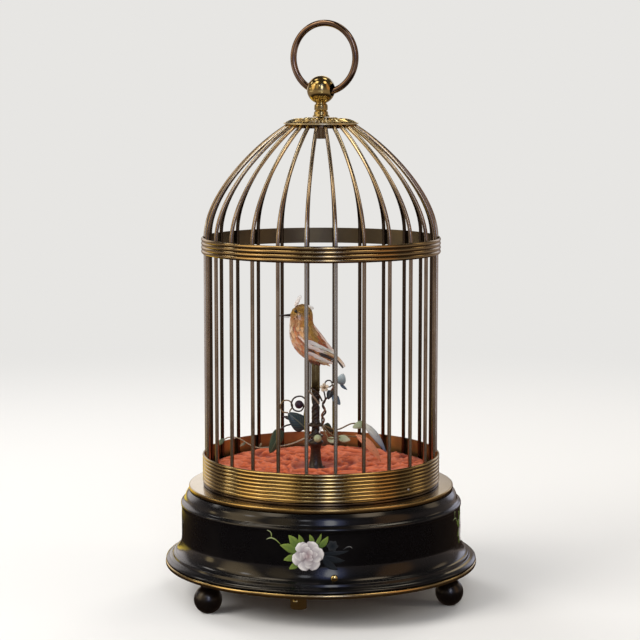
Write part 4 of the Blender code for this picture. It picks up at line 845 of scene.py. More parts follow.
def hoops(bm, places, sides):
    """Skins a row of circles, each given as a matrix and a radius, and caps both ends."""
    rim = []
    for k, (place, radius) in enumerate(places):
        capped = k in (0, len(places) - 1)
        circle = bmesh.ops.create_circle(bm, cap_ends=capped, segments=sides, radius=radius, matrix=place)
        edges = list({edge for vert in circle["verts"] for edge in vert.link_edges})
        if rim:
            bmesh.ops.bridge_loops(bm, edges=rim + edges)
        rim = edges


def headings(points):
    """The direction of a path at each of its points."""
    last = len(points) - 1
    return [(points[min(k + 1, last)] - points[max(k - 1, 0)]).normalized() for k in range(last + 1)]


def tube(bm, points, radius, sides=12):
    """Skins a round bar along points. The radius is one number, or a list with one for each point."""
    side = Vector((0.31, 0.95, 0.05))
    radii = radius if isinstance(radius, list) else [radius] * len(points)
    places = []
    for point, ahead, size in zip(points, headings(points), radii):
        side = (side - ahead * side.dot(ahead)).normalized()
        turn = Matrix((side, ahead.cross(side), ahead)).transposed().to_4x4()
        places.append((Matrix.Translation(point) @ turn, size))
    hoops(bm, places, sides)


bar_low, bar_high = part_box("cage_bar_01")
dome_high = bar_high.z - BAR_RADIUS * math.sin(math.pi / 2 - DOME_TOP_TILT)
dome_low = dome_high - DOME_HEIGHT
start = Vector((0, -BAR_CIRCLE, dome_low))
end = Vector((0, -DOME_TOP_RADIUS, dome_high))
pull_up = start + Vector((0, 0, SHOULDER_PULL))
pull_back = end - Vector((0, math.sin(DOME_TOP_TILT), math.cos(DOME_TOP_TILT))) * TOP_PULL
step = (dome_low - bar_low.z) / STRAIGHT_STEPS
bar_points = [Vector((0, -BAR_CIRCLE, bar_low.z + step * k)) for k in range(STRAIGHT_STEPS)]
for k in range(DOME_STEPS + 1):
    t = k / DOME_STEPS
    s = 1 - t
    bar_points.append(s**3 * start + 3 * s * s * t * pull_up + 3 * s * t * t * pull_back + t**3 * end)
bar_bmesh = bmesh.new()
tube(bar_bmesh, bar_points, BAR_RADIUS, 16)
bar_brass = brass("bar_brass", (0.40, 0.32, 0.235), (0.23, 0.175, 0.12), (0.42, 0.75), 0.19)
bar_colour_with_painted_light = bar_brass.current("Base Color")
depth = bar_brass.along(bar_brass.place, "Y")
offset = bar_brass.along(bar_brass.place, "X").wave("ABSOLUTE")
aside = offset.rise(0.0025, 0.008)
# Painted highlight high on the front of the dome, painted shade on the bars at the back, a pale painted
# reflection on the outermost side bars and a grey painted reflection on the front bars.
dome_highlight_mask = bar_brass.along(bar_brass.place, "Z").rise(0.200, 0.230) * aside * (1 - depth.rise(-0.012, 0.0))
bar_colour_with_painted_light = bar_brass.mix(dome_highlight_mask, bar_colour_with_painted_light, DOME_PAINTED_HIGHLIGHT)
bar_colour_with_painted_light = bar_brass.mix(depth.rise(0.003, 0.013), bar_colour_with_painted_light, BACK_PAINTED_SHADE)
bar_colour_with_painted_light = bar_brass.mix(offset.rise(0.0567, 0.0578), bar_colour_with_painted_light, SIDE_PAINTED_REFLECTION)
bar_brass.feed(base_color=bar_brass.mix(depth.rise(-0.0574, -0.0552), FRONT_PAINTED_REFLECTION, bar_colour_with_painted_light))
bars = sorted(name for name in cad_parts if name.startswith("cage_bar_"))
for k, name in enumerate(bars):
    bm = bar_bmesh.copy()
    azimuth = (k + 0.5) * 360 / len(bars)
    bmesh.ops.rotate(bm, verts=bm.verts, matrix=Matrix.Rotation(math.radians(azimuth), 3, "Z"))
    fit(name.replace("cage_bar", "round_bar"), bm, bar_brass, nodes=[name], crease=60)
bar_bmesh.free()


# Crown: a small turned disc that the rods end on, with a boss below it that the finial's stud screws
# into, and a stamped gilt rosette of acanthus leaves on top.
CROWN_SHEET = 0.0018
CROWN_BOSS = 0.0025
low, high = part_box("crown_disc")
plate_low = high.z - CROWN_SHEET
profile = [(0, low.z), (CROWN_BOSS, low.z), (CROWN_BOSS, plate_low)]
profile += [(high.x, plate_low), (high.x, high.z), (0, high.z)]
fit("turned_crown", turned(soften(profile, 0.0003), 96), aged, nodes=["crown_disc"])

ROSETTE_LEAVES = 16
ROSETTE_EDGE = 0.0007
ROSETTE_FLAT = 0.0004
ROSETTE_LIP = 0.0021
ROSETTE_RISE = 0.0011
ROSETTE_HUB = 0.36
ROSETTE_RINGS = 64
HUB_RISE = 0.0022
RELIEF = 0.0022
SCROLLS = 11
STUD_RADIUS = 0.0017
low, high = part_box("rosette")
rosette_radius = high.x


def acanthus(share, angle):
    """Height share of the relief: a ring of three-lobed leaves round a ring of curled scrolls."""
    across = (angle / math.tau * ROSETTE_LEAVES) % 1 * 2 - 1
    leaf = (share - 0.52) / 0.45
    height = 0.0
    if 0 < leaf < 1:
        lobes = 0.45 + 0.55 * math.cos(3 * math.pi * across)
        spread = abs(across) / (1.02 - 0.35 * leaf * leaf)
        height = math.sin(math.pi * leaf**0.7) ** 0.6 * lobes * math.sqrt(max(0.0, 1 - spread * spread))
    scroll = (share - 0.22) / 0.34
    if 0 < scroll < 1:
        twist = 0.5 + 0.5 * math.cos(SCROLLS * angle + 5 * scroll)
        height = max(height, math.sin(math.pi * scroll) ** 0.7 * twist**0.8)
    return max(0.0, height)


flat, rim = low.z + ROSETTE_FLAT, low.z + ROSETTE_EDGE
profile = [(STUD_RADIUS, flat), (rosette_radius - ROSETTE_LIP, flat)]
profile += [(rosette_radius, low.z), (rosette_radius, rim)]
for k in range(ROSETTE_RINGS + 1):
    share = 1 - k / ROSETTE_RINGS
    radius = STUD_RADIUS + (rosette_radius - 0.0003 - STUD_RADIUS) * share
    hub = max(0.0, 1 - share / ROSETTE_HUB)
    profile.append((radius, rim + ROSETTE_RISE * (1 - share) + HUB_RISE * hub**0.7))
bm = turned(profile, 384)
paint = bm.verts.layers.float_color.new("paint")
for vert in bm.verts:
    on_top = vert.co.z > rim + 1e-5
    vert[paint] = (0.6, 0.6, 0.6, 1.0)
    if on_top:
        share = math.hypot(vert.co.x, vert.co.y) / rosette_radius
        height = acanthus(share, math.atan2(vert.co.y, vert.co.x))
        vert.co.z = min(vert.co.z + RELIEF * (1.1 - 0.5 * share) * height, high.z)
        vert[paint] = (height, height, height, 1.0)
stamped = brass("stamped_gilt", (0.86, 0.64, 0.28), (0.60, 0.42, 0.15), roughness=0.24)
relief = stamped.attribute("paint", 2)
cloud = stamped.grain(stamped.place, 400.0, 3.0)
shine = stamped.mix((relief + cloud * 0.2).rise(0.12, 0.55), (0.16, 0.105, 0.040), (0.98, 0.84, 0.46))
stamped.feed(base_color=shine)
fit("stamped_rosette", bm, stamped, nodes=["rosette"], crease=85)


# Finial: a turned brass stem with a flare and two collars, and a ball on it that is drilled across
# for the ring.
BALL = 0.007
FINIAL_FLARE = 0.00435
FINIAL_COLLAR = 0.0035
FINIAL_WAIST = 0.00265
STEM = 0.0064
low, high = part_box("finial")
ring_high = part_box("suspension_ring")[1]
ball_centre = Vector((0, 0, high.z - BALL))
stem_low = high.z - 2 * BALL - STEM
levels = (
    (STUD_RADIUS, -0.6), (STUD_RADIUS, 0.0), (FINIAL_FLARE, 0.0), (FINIAL_FLARE * 0.97, 0.09),
    (FINIAL_COLLAR * 1.02, 0.17), (FINIAL_COLLAR, 0.42), (FINIAL_WAIST, 0.46), (FINIAL_COLLAR * 0.96, 0.52),
    (FINIAL_COLLAR * 0.96, 0.93), (FINIAL_WAIST, 1.02), (FINIAL_WAIST, 1.25),
)
profile = [(radius, stem_low + STEM * share) for radius, share in levels]
profile = [(0, profile[0][1]), *profile, (0, profile[-1][1])]
fit("finial_stem", turned(soften(profile, 0.0005, 4), 96), polished, nodes=["finial"])

RING_RADIUS = 0.01705
RING_WIRE = 0.0016
RING_TURN = math.radians(26)
RING_SHIFT = 0.0018
ring_way = Vector((math.cos(RING_TURN), -math.sin(RING_TURN), 0))
ring_rise = (RING_RADIUS - math.sqrt(RING_RADIUS**2 - (BALL + RING_SHIFT) ** 2)) / 2
HOLE = RING_WIRE + ring_rise + 0.0003
opening = math.degrees(math.acos(HOLE / BALL))
profile = dish(BALL, 0.0, -opening, opening, 48)
bm = turned(profile, 96)
lie = Vector((0, 0, 1)).rotation_difference(ring_way).to_matrix().to_4x4()
bmesh.ops.transform(bm, matrix=Matrix.Translation(ball_centre) @ lie, verts=bm.verts)
fit("finial_ball", bm, polished, crease=50)


# Suspension ring: bronze wire bent to a circle through the ball and closed inside the hole. It hangs
# turned a little to the right, and swings in the hole.
bronze = brass("brown_bronze", (0.36, 0.25, 0.19), (0.17, 0.115, 0.085), (0.3, 0.7), 0.16)
bm = bmesh.new()
stand = Matrix.Translation((RING_RADIUS, 0, 0)) @ Matrix.Rotation(math.pi / 2, 4, "X")
wire = bmesh.ops.create_circle(bm, segments=24, radius=RING_WIRE, matrix=stand)
spin(bm, wire["verts"] + list(bm.edges), 160)
ring_centre = Vector((0, 0, ring_high.z - RING_RADIUS - RING_WIRE)) + ring_way * RING_SHIFT
upright = Vector((0, 0, 1))
stand_up = upright.rotation_difference(ring_way.cross(upright)).to_matrix().to_4x4()
bmesh.ops.transform(bm, matrix=Matrix.Translation(ring_centre) @ stand_up, verts=bm.verts)
fit("bronze_ring", bm, bronze, "ring", ["suspension_ring"])


# Tree: a thin iron core wrapped with brown taped wires, on a flared foot, and a brass tube in its
# top that carries the bird. The bright rod slides in the tube and works the beak and the tail, and
# a thin bright stay stands on the trunk beside the tube.
def smooth(stations, steps=6):
    """A smooth curve through stations, each a tuple of any length."""
    curve = []
    padded = [stations[0], *stations, stations[-1]]
    for group in zip(padded, padded[1:], padded[2:], padded[3:]):
        for k in range(steps):
            t = k / steps
            spot = []
            for a, b, c, d in zip(*group):
                bend = (2 * a - 5 * b + 4 * c - d) * t * t + (3 * b - a - 3 * c + d) * t**3
                spot.append(0.5 * (2 * b + (c - a) * t + bend))
            curve.append(tuple(spot))
    curve.append(tuple(float(value) for value in stations[-1]))
    return curve


def at(x, y, z):
    """A place on the tree or its plants, in millimetres from the middle of the feet's plane."""
    return Vector((x, y, z)) / 1000


def spread_paint(bm, colour, since=0):
    """Gives a colour to every point added to a mesh of blades since a count of points."""
    paint = bm.verts.layers.float_color["paint"]
    flow = bm.verts.layers.float_vector["flow"]
    bm.verts.ensure_lookup_table()
    for vert in bm.verts[since:]:
        vert[paint] = (*colour, 1.0)
        vert[flow] = (0.5, 0.5, 0.0)


TRUNK_CORE = 0.00165
TRUNK_BORE = 0.00155
TRUNK_FOOT = 0.0045
TRUNK_COLLAR = 0.0039
TRUNK_BROWN = (0.006, 0.004, 0.0035)
WIRE_TURNS = 2.4
WIRE_COUNT = 6
WIRE_STEPS = 60
low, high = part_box("tree_trunk")
collar_height = low.z + 0.0137
trunk_high = high.z - 0.0002
profile = [
    (TRUNK_BORE, low.z), (TRUNK_FOOT, low.z), (TRUNK_FOOT, low.z + 0.0008), (0.0036, low.z + 0.0016),
    (0.0029, low.z + 0.0046), (0.0025, low.z + 0.0100), (TRUNK_COLLAR * 0.8, collar_height - 0.0016),
    (TRUNK_COLLAR, collar_height - 0.0008), (TRUNK_COLLAR, collar_height + 0.0004),
    (0.0027, collar_height + 0.0014), (TRUNK_CORE, collar_height + 0.0022), (TRUNK_CORE, trunk_high),
    (TRUNK_BORE, trunk_high),
]
trunk = turned(profile, 40, (stand_x, 0), closed=False, bm=sheets())
spread_paint(trunk, TRUNK_BROWN)
for k in range(WIRE_COUNT):
    wire = []
    for step in range(WIRE_STEPS + 1):
        share = step / WIRE_STEPS
        angle = 360 * (k / WIRE_COUNT + WIRE_TURNS * share * (1 if k % 3 else -0.6))
        swell = 0.00005 * math.sin(9 * share + 2 * k)
        radius = TRUNK_CORE - 0.00012 + swell + 0.0010 * max(0.0, 1 - 9 * share) ** 2
        height = collar_height + 0.0008 + share * (high.z - 0.0009 - collar_height)
        wire.append(around(radius, angle, height) + Vector((stand_x, 0, 0)))
    since = len(trunk.verts)
    tube(trunk, wire, 0.00062 - 0.00005 * (k % 2), 8)
    spread_paint(trunk, tint((0.008, 0.005, 0.004), (0.028, 0.016, 0.011), (k % 4) / 4), since)
enamel = Finish("enamel", coat_weight=0.4, coat_roughness=0.15, specular_ior_level=0.3)
painted = enamel.attribute("paint")
lie = enamel.attribute("flow", 1)
across = enamel.along(lie, "X").wave("ABSOLUTE")
rib = across.rise(0.03, 0.12)
slant = ((enamel.along(lie, "Y") - across * 0.35) * 46.0).wave("SINE")
vein = slant.rise(0.86, 0.99) * across.rise(0.1, 0.2)
chip = enamel.grain(enamel.place, 900.0, 5.0).rise(0.60, 0.72)
worn = enamel.mix(chip * 0.6, painted, (0.05, 0.035, 0.025))
enamel.feed(base_color=enamel.mix((1 - rib) * 0.30 + vein * 0.2, worn, (0.30, 0.27, 0.17)))
enamel.feed(roughness=enamel.grain(enamel.place, 500.0, 3.0) * 0.4 + 0.18)
enamel.bump(rib * 0.5 - vein * 0.5 + chip * -0.4, 0.00012, 0.6)
taped = Finish("taped_wire", roughness=0.45, coat_weight=0.5, coat_roughness=0.2)
painted = taped.attribute("paint")
wrap = taped.grain(taped.place, 700.0, 4.0, (1.0, 1.0, 2.5))
taped.feed(base_color=taped.mix(wrap.rise(0.45, 0.75) * 0.6, painted, (0.060, 0.034, 0.022)))
taped.bump(wrap, 0.00025, 0.8)
fit("wrapped_trunk", trunk, taped, nodes=["tree_trunk"], crease=60)

ROD = 0.0006
TUBE_BORE = ROD + 0.0003
TUBE_SHANK = 0.0015
STAY = 0.00036
STAY_SEAT = 0.0014
STAY_SHORT = 0.0035
shoulder = high.z + 0.0003
low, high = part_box("perch_tube")
tube_brass = brass("tube_brass", (0.34, 0.29, 0.15), (0.13, 0.095, 0.050), (0.35, 0.65), 0.16)
tube_radius = (high.x - low.x) / 2
profile = [(TUBE_BORE, low.z), (TUBE_SHANK, low.z), (TUBE_SHANK, shoulder), (tube_radius, shoulder)]
profile += [(tube_radius, high.z), (TUBE_BORE, high.z)]
bm = turned(soften(profile, 0.0002), 48, (stand_x, 0))
fit("brass_perch_tube", bm, tube_brass, nodes=["perch_tube"])
stay_place = (stand_x - tube_radius - STAY - 0.0001, -0.0007)
stay_low, stay_high = shoulder - STAY_SEAT, high.z - STAY_SHORT
profile = [(0, stay_low), (STAY, stay_low), (STAY, stay_high), (0, stay_high)]
fit("bright_stay_wire", turned(profile, 16, stay_place), steel)
low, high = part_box("control_rod")
profile = [(0, low.z), (ROD, low.z), (ROD, high.z - ROD), *dish(ROD, high.z - ROD, 10, 90, 5)]
fit("steel_rod", turned(profile, 24, (stand_x, 0)), steel, "rod", ["control_rod"])


# Vines: wire stems that come off two wire rings on the trunk, with pressed leaves, curls, berries and
# blossoms of enamelled metal. The left side is green, and the right side is mostly blue and pale.
LEFT_RING_HEIGHT = 80.507
RIGHT_RING_HEIGHT = 86.207
RING_REACH = 3.3
RING_WIRE_RADIUS = 0.00068
LEAF_SHEET = 0.0002
FRONT = Vector((0, -1, 0))
LEAF_FACING = Vector((0.15, -1, 0.35))
DARK_MOSS = (0.015, 0.027, 0.018)
MOSS = (0.030, 0.054, 0.032)
PALE_MOSS = (0.16, 0.22, 0.12)
TEAL = (0.012, 0.030, 0.037)
BLACK_TEAL = (0.020, 0.036, 0.046)
PLUM = (0.055, 0.030, 0.050)
DARK_WIRE = (0.030, 0.018, 0.012)
BRASS_WIRE = (0.16, 0.10, 0.045)
RED_WIRE = (0.13, 0.050, 0.025)
TAUPE_WIRE = (0.20, 0.14, 0.10)
PALE_WIRE = (0.30, 0.23, 0.15)
SOOT_BLUE = (0.012, 0.013, 0.016)
INK_BLUE = (0.018, 0.026, 0.038)
DEEP_BLUE = (0.045, 0.080, 0.130)
SLATE_BLUE = (0.10, 0.14, 0.19)
CREAM = (0.54, 0.52, 0.36)
SALMON = (0.62, 0.24, 0.13)
ORANGE_PINK = (0.66, 0.27, 0.15)


def stem(bm, stations, colour, sides=8, steps=6):
    """A wire through stations of x, y, z and radius in millimetres."""
    curve = smooth(stations, steps)
    since = len(bm.verts)
    tube(bm, [at(*station[:3]) for station in curve], [station[3] / 1000 for station in curve], sides)
    spread_paint(bm, colour, since)


def leaf(bm, root, tip, half_width, root_shade, tip_shade, bend, droop, outline=leaf_outline, depth=0.25):
    """A pressed leaf between two places, bent sideways in its plane and bowed towards the front."""
    root, tip = Vector(root), Vector(tip)
    middle = (root + tip) / 2 + (tip - root).cross(FRONT) * bend + FRONT * droop
    route = (at(*root), at(*middle), at(*tip))
    shade = lambda across, along: tint(tint(root_shade, tip_shade, along), tip_shade, 0.3 * abs(across) ** 3)
    blade(bm, route, LEAF_FACING, half_width / 1000, outline, shade, depth, (8, 12))


def berry(bm, x, y, z, radius, colour):
    since = len(bm.verts)
    place = Matrix.Translation(at(x, y, z))
    bmesh.ops.create_uvsphere(bm, u_segments=20, v_segments=12, radius=radius / 1000, matrix=place)
    spread_paint(bm, colour, since)


def blossom(bm, x, y, z, radius, petals, root_shade, tip_shade):
    """A ring of petals about a brass bead."""
    for k in range(petals):
        angle = math.tau * k / petals + 0.4
        tip = (x + radius * math.cos(angle), y - 0.6, z + radius * math.sin(angle))
        leaf(bm, (x, y, z), tip, radius * 0.52, root_shade, tip_shade, 0.0, 0.5, petal_outline, 0.3)
    berry(bm, x, y - 0.4, z, radius * 0.3, BRASS_WIRE)


def ring_and_band(bm, height):
    """The wire ring round the trunk that a side's stems are soldered to."""
    points = [at(*around(RING_REACH, 360 * k / 24)) + Vector((stand_x, 0, height / 1000)) for k in range(25)]
    since = len(bm.verts)
    tube(bm, points, RING_WIRE_RADIUS, 8)
    spread_paint(bm, DARK_WIRE, since)


def round_outline(along):
    return math.sin(math.pi * along**0.7) ** 0.55 * (1.0 - 0.25 * along) + 0.02


left = sheets()
ring_and_band(left, LEFT_RING_HEIGHT)
x, z = stand_x * 1000 - RING_REACH, LEFT_RING_HEIGHT
stem(left, [
    (x, -1, z, 0.5), (-15, -3, 76.8, 0.4), (-26.8, -4, 75.2, 0.32), (-33.9, -4, 75.6, 0.30),
    (-41.7, -3, 79.8, 0.30), (-46.8, -2, 80.0, 0.32), (-49.6, -2, 78.6, 0.30),
], PALE_WIRE)
leaf(left, (-48.8, -2, 79.4), (-53.0, -2, 75.3), 1.2, DARK_MOSS, PALE_MOSS, 0.05, 0.5)
leaf(left, (-38.0, -3.6, 77.6), (-41.0, -4.0, 75.6), 0.7, MOSS, PALE_WIRE, 0.1, 0.4)
leaf(left, (-31.2, -4, 75.3), (-30.0, -4.4, 77.8), 0.6, MOSS, PALE_WIRE, 0.1, 0.3)
leaf_stem = [(x, 0, z, 0.5), (-11, -2, 86.6, 0.45), (-17.2, -3, 86.4, 0.42), (-20.8, -4, 84.4, 0.4)]
stem(left, leaf_stem, DARK_WIRE)
leaf(left, (-20.6, -4, 84.8), (-26.0, -5, 72.4), 3.4, DARK_MOSS, MOSS, -0.06, 0.8, round_outline)
stem(left, [(x, -0.5, z, 0.5), (-7.4, -1, 82.6, 0.5), (-8.6, -1.5, 84.4, 0.45)], DARK_WIRE)
leaf(left, (-8.0, -1.6, 84.4), (-16.7, -3, 92.6), 4.7, TEAL, BLACK_TEAL, 0.04, 0.8, round_outline)
stem(left, [
    (x, 0.5, z, 0.5), (-8.6, 1, 86.2, 0.5), (-8.0, 1, 94.4, 0.45), (-7.4, 0.6, 98.2, 0.42),
    (-10.0, 0.2, 100.7, 0.42), (-13.6, -0.2, 99.9, 0.42), (-15.0, -0.6, 96.7, 0.42),
    (-13.4, -0.9, 93.8, 0.42), (-10.4, -1.2, 93.4, 0.40), (-8.8, -1.5, 95.6, 0.40),
    (-9.6, -1.8, 97.8, 0.38), (-11.4, -2, 98, 0.35),
], DARK_WIRE)
berry(left, -11.1, -1.4, 96.8, 2.15, (0.022, 0.012, 0.024))
loop = [(-17.5 + 3.1 * math.cos(k), 0.8 - 0.1 * k, 95.4 + 3.3 * math.sin(k), 0.36) for k in range(-1, 6)]
stem(left, [(-9.6, 0.6, 88.6, 0.4), (-13.8, 1.0, 89.6, 0.38), *loop], BRASS_WIRE)
leaf(left, (-14.6, 0.4, 88.6), (-19.6, -0.6, 90.6), 0.9, MOSS, PLUM, 0.1, 0.4)
vine = fit("left_vine", left, enamel, nodes=["foliage_left"], crease=70)
thicken(vine, LEAF_SHEET)

right = sheets()
ring_and_band(right, RIGHT_RING_HEIGHT)
x, z = stand_x * 1000 + RING_REACH, RIGHT_RING_HEIGHT
stem(right, [(x, -1, z, 0.5), (5.8, -2, 81.2, 0.45), (12, -4, 81.1, 0.42), (18, -5, 81.0, 0.45)], BRASS_WIRE)
leaf(right, (17.4, -5, 82.0), (30.3, -4, 67.6), 2.2, SALMON, ORANGE_PINK, -0.17, 1.4)
stem(right, [(x, 0, z, 0.5), (8, 1, 83.5, 0.42), (16, 2, 86.5, 0.4), (22.1, 2, 85.2, 0.42)], BRASS_WIRE)
leaf(right, (21.2, 2, 87.0), (33.0, 0, 71.9), 1.9, (0.66, 0.64, 0.54), (0.035, 0.085, 0.20), -0.10, 0.8)
pale_tip = (0.40, 0.42, 0.28)
leaf(right, (21.8, 1.4, 86.6), (16.0, 0.2, 84.6), 2.1, PALE_MOSS, pale_tip, 0.06, 0.6, round_outline)
leaf(right, (3.2, -4.6, 80.2), (8.4, -6, 78.5), 1.6, PALE_MOSS, CREAM, 0.06, 0.6)
leaf(right, (8.6, -5, 80.9), (15.0, -6.2, 79.4), 1.9, PALE_MOSS, CREAM, 0.05, 0.6)
low_stem = [(x, -1.5, z, 0.5), (2.2, -4, 82.6, 0.42), (4.4, -5.5, 80.0, 0.4), (9.8, -5.6, 80.8, 0.38)]
stem(right, low_stem, BRASS_WIRE)
stem(right, [
    (x, 0.5, z, 0.5), (1.6, -0.6, 88.8, 0.5), (0.4, -1.6, 91.4, 0.5), (2.0, -0.4, 94.0, 0.5),
    (0.9, 0.5, 97.0, 0.45), (3.4, 0.5, 100.4, 0.45), (5.4, 0.2, 104.0, 0.42), (7.6, 0, 107.2, 0.4),
    (9.6, 0, 109.0, 0.38),
], RED_WIRE)
stem(right, [
    (x, 1, z, 0.45), (0.6, 1.8, 89.8, 0.45), (2.4, 0.6, 92.6, 0.45), (0.8, -0.8, 96.0, 0.45),
    (2.2, -0.6, 99.0, 0.42), (1.4, -0.4, 103.8, 0.4),
], DARK_WIRE)
# The top leaf runs from deep blue at the root to a pale tip: the pale tip is partly the enamel's own colour
# and partly a painted highlight.
dusk, pale_tip_highlight = (0.025, 0.060, 0.090), (0.46, 0.54, 0.57)
leaf(right, (9.2, -0.2, 107.0), (11.2, -1.4, 112.6), 2.7, dusk, pale_tip_highlight, 0.05, 0.8, round_outline, 0.4)
leaf(right, (9.6, 0.2, 107.2), (13.4, 0.4, 104.0), 0.8, DEEP_BLUE, DEEP_BLUE, 0.05, 0.3)
leaf(right, (5.2, 0.2, 103.8), (3.6, -0.6, 99.2), 1.8, SOOT_BLUE, INK_BLUE, 0.05, 0.6, round_outline)
leaf(right, (6.4, 0, 101.6), (9.8, -1, 96.6), 2.0, DEEP_BLUE, SLATE_BLUE, 0.08, 0.5, round_outline)
blossom(right, 1.7, -1.6, 105.6, 2.3, 5, (0.50, 0.34, 0.24), (0.66, 0.57, 0.44))
loop = [(3.9 + 1.9 * math.cos(k), -0.4, 107.3 + 1.7 * math.sin(k), 0.34) for k in range(0, 7)]
stem(right, [(7.6, 0, 107.2, 0.36), *loop], DARK_WIRE)
leaf(right, (1.8, 2, 86.2), (6.0, 4, 81.8), 2.2, DARK_MOSS, (0.020, 0.042, 0.024), 0.05, 0.5, round_outline)
berry(right, -1.7, -4.0, 79.8, 2.0, (0.36, 0.38, 0.22))
stem(right, [(0.5, -2.2, 85.6, 0.45), (-0.8, -3.6, 83.0, 0.4), (-1.6, -3.9, 80.6, 0.4)], DARK_WIRE)
stem(right, [(-0.9, -2.4, 97.2, 0.45), (-3.4, -2.7, 100.6, 0.5), (-6.4, -2.0, 104.2, 0.4)], TAUPE_WIRE)
stem(right, [(0.6, -2.0, 98.6, 0.45), (-1.6, -2.7, 102.8, 0.45), (-5.2, -2.6, 105.6, 0.38)], DARK_WIRE)
vine = fit("right_vine", right, enamel, nodes=["foliage_right"], crease=70)
thicken(vine, LEAF_SHEET)


# Bird: a carved body and head covered with real small feathers, glued on in rows from the tail
# forwards, with glass eyes, black horn beak halves and wire claws. Head, beak and tail move.
FEATHER_SHEET = 0.00006
FEATHER_FACE = Vector((0, 1, 0))
DOWN_BACK = Vector((0.55, 0, -0.83))
DOWN_NECK = Vector((0.5, 0, -0.75))
PALEST = 0.82
OLIVE_GOLD = (0.41, 0.215, 0.028)
OLIVE_BROWN = (0.22, 0.110, 0.020)
ORANGE_BROWN = (0.46, 0.150, 0.022)
DEEP_RUST = (0.25, 0.060, 0.014)
RUST = (0.42, 0.105, 0.038)
BUFF = (0.62, 0.27, 0.095)
TAN = (0.66, 0.39, 0.18)
PINK = (0.78, 0.48, 0.38)
PINK_WHITE = (0.80, 0.66, 0.58)
WHITE = (0.78, 0.75, 0.72)
BRIGHT_WHITE = (0.92, 0.90, 0.88)
PALE_GREY = (0.50, 0.49, 0.47)
GREEN_GREY = (0.30, 0.31, 0.24)
DARK_QUILL = (0.020, 0.015, 0.018)
LILAC = (0.46, 0.38, 0.40)
perch = Vector((stand_x, 0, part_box("perch_tube")[1].z))


def from_perch(x, y, z):
    """A place on the bird, in millimetres from the middle of the perch tube's top."""
    return perch + Vector((x, y, z)) / 1000


def plump(bm, stations, first, last=None):
    """Skins ovals of x, z, half depth and half width in millimetres from the perch, ends capped."""
    curve = smooth(stations, 5)
    centres = [from_perch(x, 0, z) for x, z, depth, width in curve]
    ways = headings(centres)
    ways[0] = first
    ways[-1] = last or ways[-1]
    ovals = []
    for centre, station, ahead in zip(centres, curve, ways):
        back = ahead.cross(FEATHER_FACE) * station[2] / 1000
        turn = Matrix((back, FEATHER_FACE * station[3] / 1000, ahead)).transposed().to_4x4()
        ovals.append((Matrix.Translation(centre) @ turn, 1.0))
    hoops(bm, ovals, 32)


def feather_outline(along):
    return min(1.0, 3.2 * along + 0.25) * (1 - along**3.2) ** 0.5 + 0.02


def quill_outline(along):
    return min(1.0, 5 * along + 0.3) * max(0.34, (1 - along**7) ** 0.6)


def fade(root, tip, edge, rim=0.35):
    """A feather's shade: root to tip, with the two edges and the tip paler."""

    def shade(across, along):
        worn = max(abs(across) ** 3, max(0.0, along - 0.6) * 2)
        return tint(tint(root, tip, along), edge, rim * worn)

    return shade


def dimmed(colour, share):
    """A colour made lighter or darker, though never paler than the palest feather."""
    return tuple(min(PALEST, value * share) for value in colour)


def seats_on(bm, low, high, spacing, chance):
    """Scattered places on a skinned surface between two heights, no two nearer than the spacing."""
    faces = [face for face in bm.faces if low <= face.calc_center_median().z <= high and len(face.verts) == 4]
    areas = [face.calc_area() for face in faces]
    seats = []
    for face in chance.choices(faces, areas, k=5000):
        corners = [vert.co for vert in face.verts]
        across, along = chance.random(), chance.random()
        spot = corners[0].lerp(corners[1], across).lerp(corners[3].lerp(corners[2], across), along)
        if all((spot - seat).length_squared > spacing * spacing for seat, normal in seats):
            seats.append((spot, face.normal.copy()))
    return seats


def coat(bm, tree, seats, colour_at, flow_at, length, half_width, lift, chance):
    """Lays small feathers on a surface. Each starts at a seat and follows the surface downstream."""
    for seat, normal in seats:
        flow = (flow_at - normal * flow_at.dot(normal)).normalized()
        flow = (flow + normal.cross(flow) * chance.uniform(-0.16, 0.16)).normalized()
        reach = length * chance.uniform(0.85, 1.2)
        route = [seat - flow * reach * 0.15 - normal * 0.0001]
        for share, rise in ((0.5, 1.2), (1.0, 1.0)):
            spot, facing = tree.find_nearest(seat + flow * reach * share)[:2]
            route.append(spot + facing * lift * rise)
        colour, edge = colour_at(seat, normal)
        shiver = chance.uniform(0.72, 1.22)
        root, tip = dimmed(colour, shiver * 0.48), dimmed(colour, shiver * 1.12)
        wide = half_width * chance.uniform(0.85, 1.15)
        blade(bm, route, normal, wide, feather_outline, fade(root, tip, edge, 0.45), 0.25, (4, 6))


def mark(bm, root, tip, half_width, shade, facing, bend=(0, 0, 0), depth=0.12):
    """A long feather between two places from the perch in millimetres."""
    root, tip = from_perch(*root), from_perch(*tip)
    route = (root, (root + tip) / 2 + Vector(bend) / 1000, tip)
    blade(bm, route, Vector(facing), half_width / 1000, quill_outline, shade, depth, (4, 14))


def laid(bm, tree, side, root, tip, half_width, shade, lift=0.4, bow=0.0, outline=feather_outline):
    """A feather laid on one side of a surface, between two places of the side view in millimetres."""
    root, tip = Vector(root), Vector(tip)
    middle = (root + tip) / 2 + Vector((root.y - tip.y, tip.x - root.x)) * bow
    spots = []
    for x, z in (root, middle, tip):
        start = from_perch(x, side * 20, z)
        spot, normal = tree.ray_cast(start, Vector((0, -side, 0)))[:2]
        if spot is None:
            spot, normal = tree.find_nearest(from_perch(x, side * 2, z))[:2]
            spot = Vector((start.x, spot.y, start.z))
        spots.append(spot + normal * lift / 1000)
    route = (spots[0], spots[1] * 2 - (spots[0] + spots[2]) / 2, spots[2])
    facing = tree.find_nearest(spots[1])[1]
    blade(bm, route, facing, half_width / 1000, outline, shade, 0.2, (6, 14))


def speckle(x, y, z):
    return noise.noise(Vector((x, y, z)))


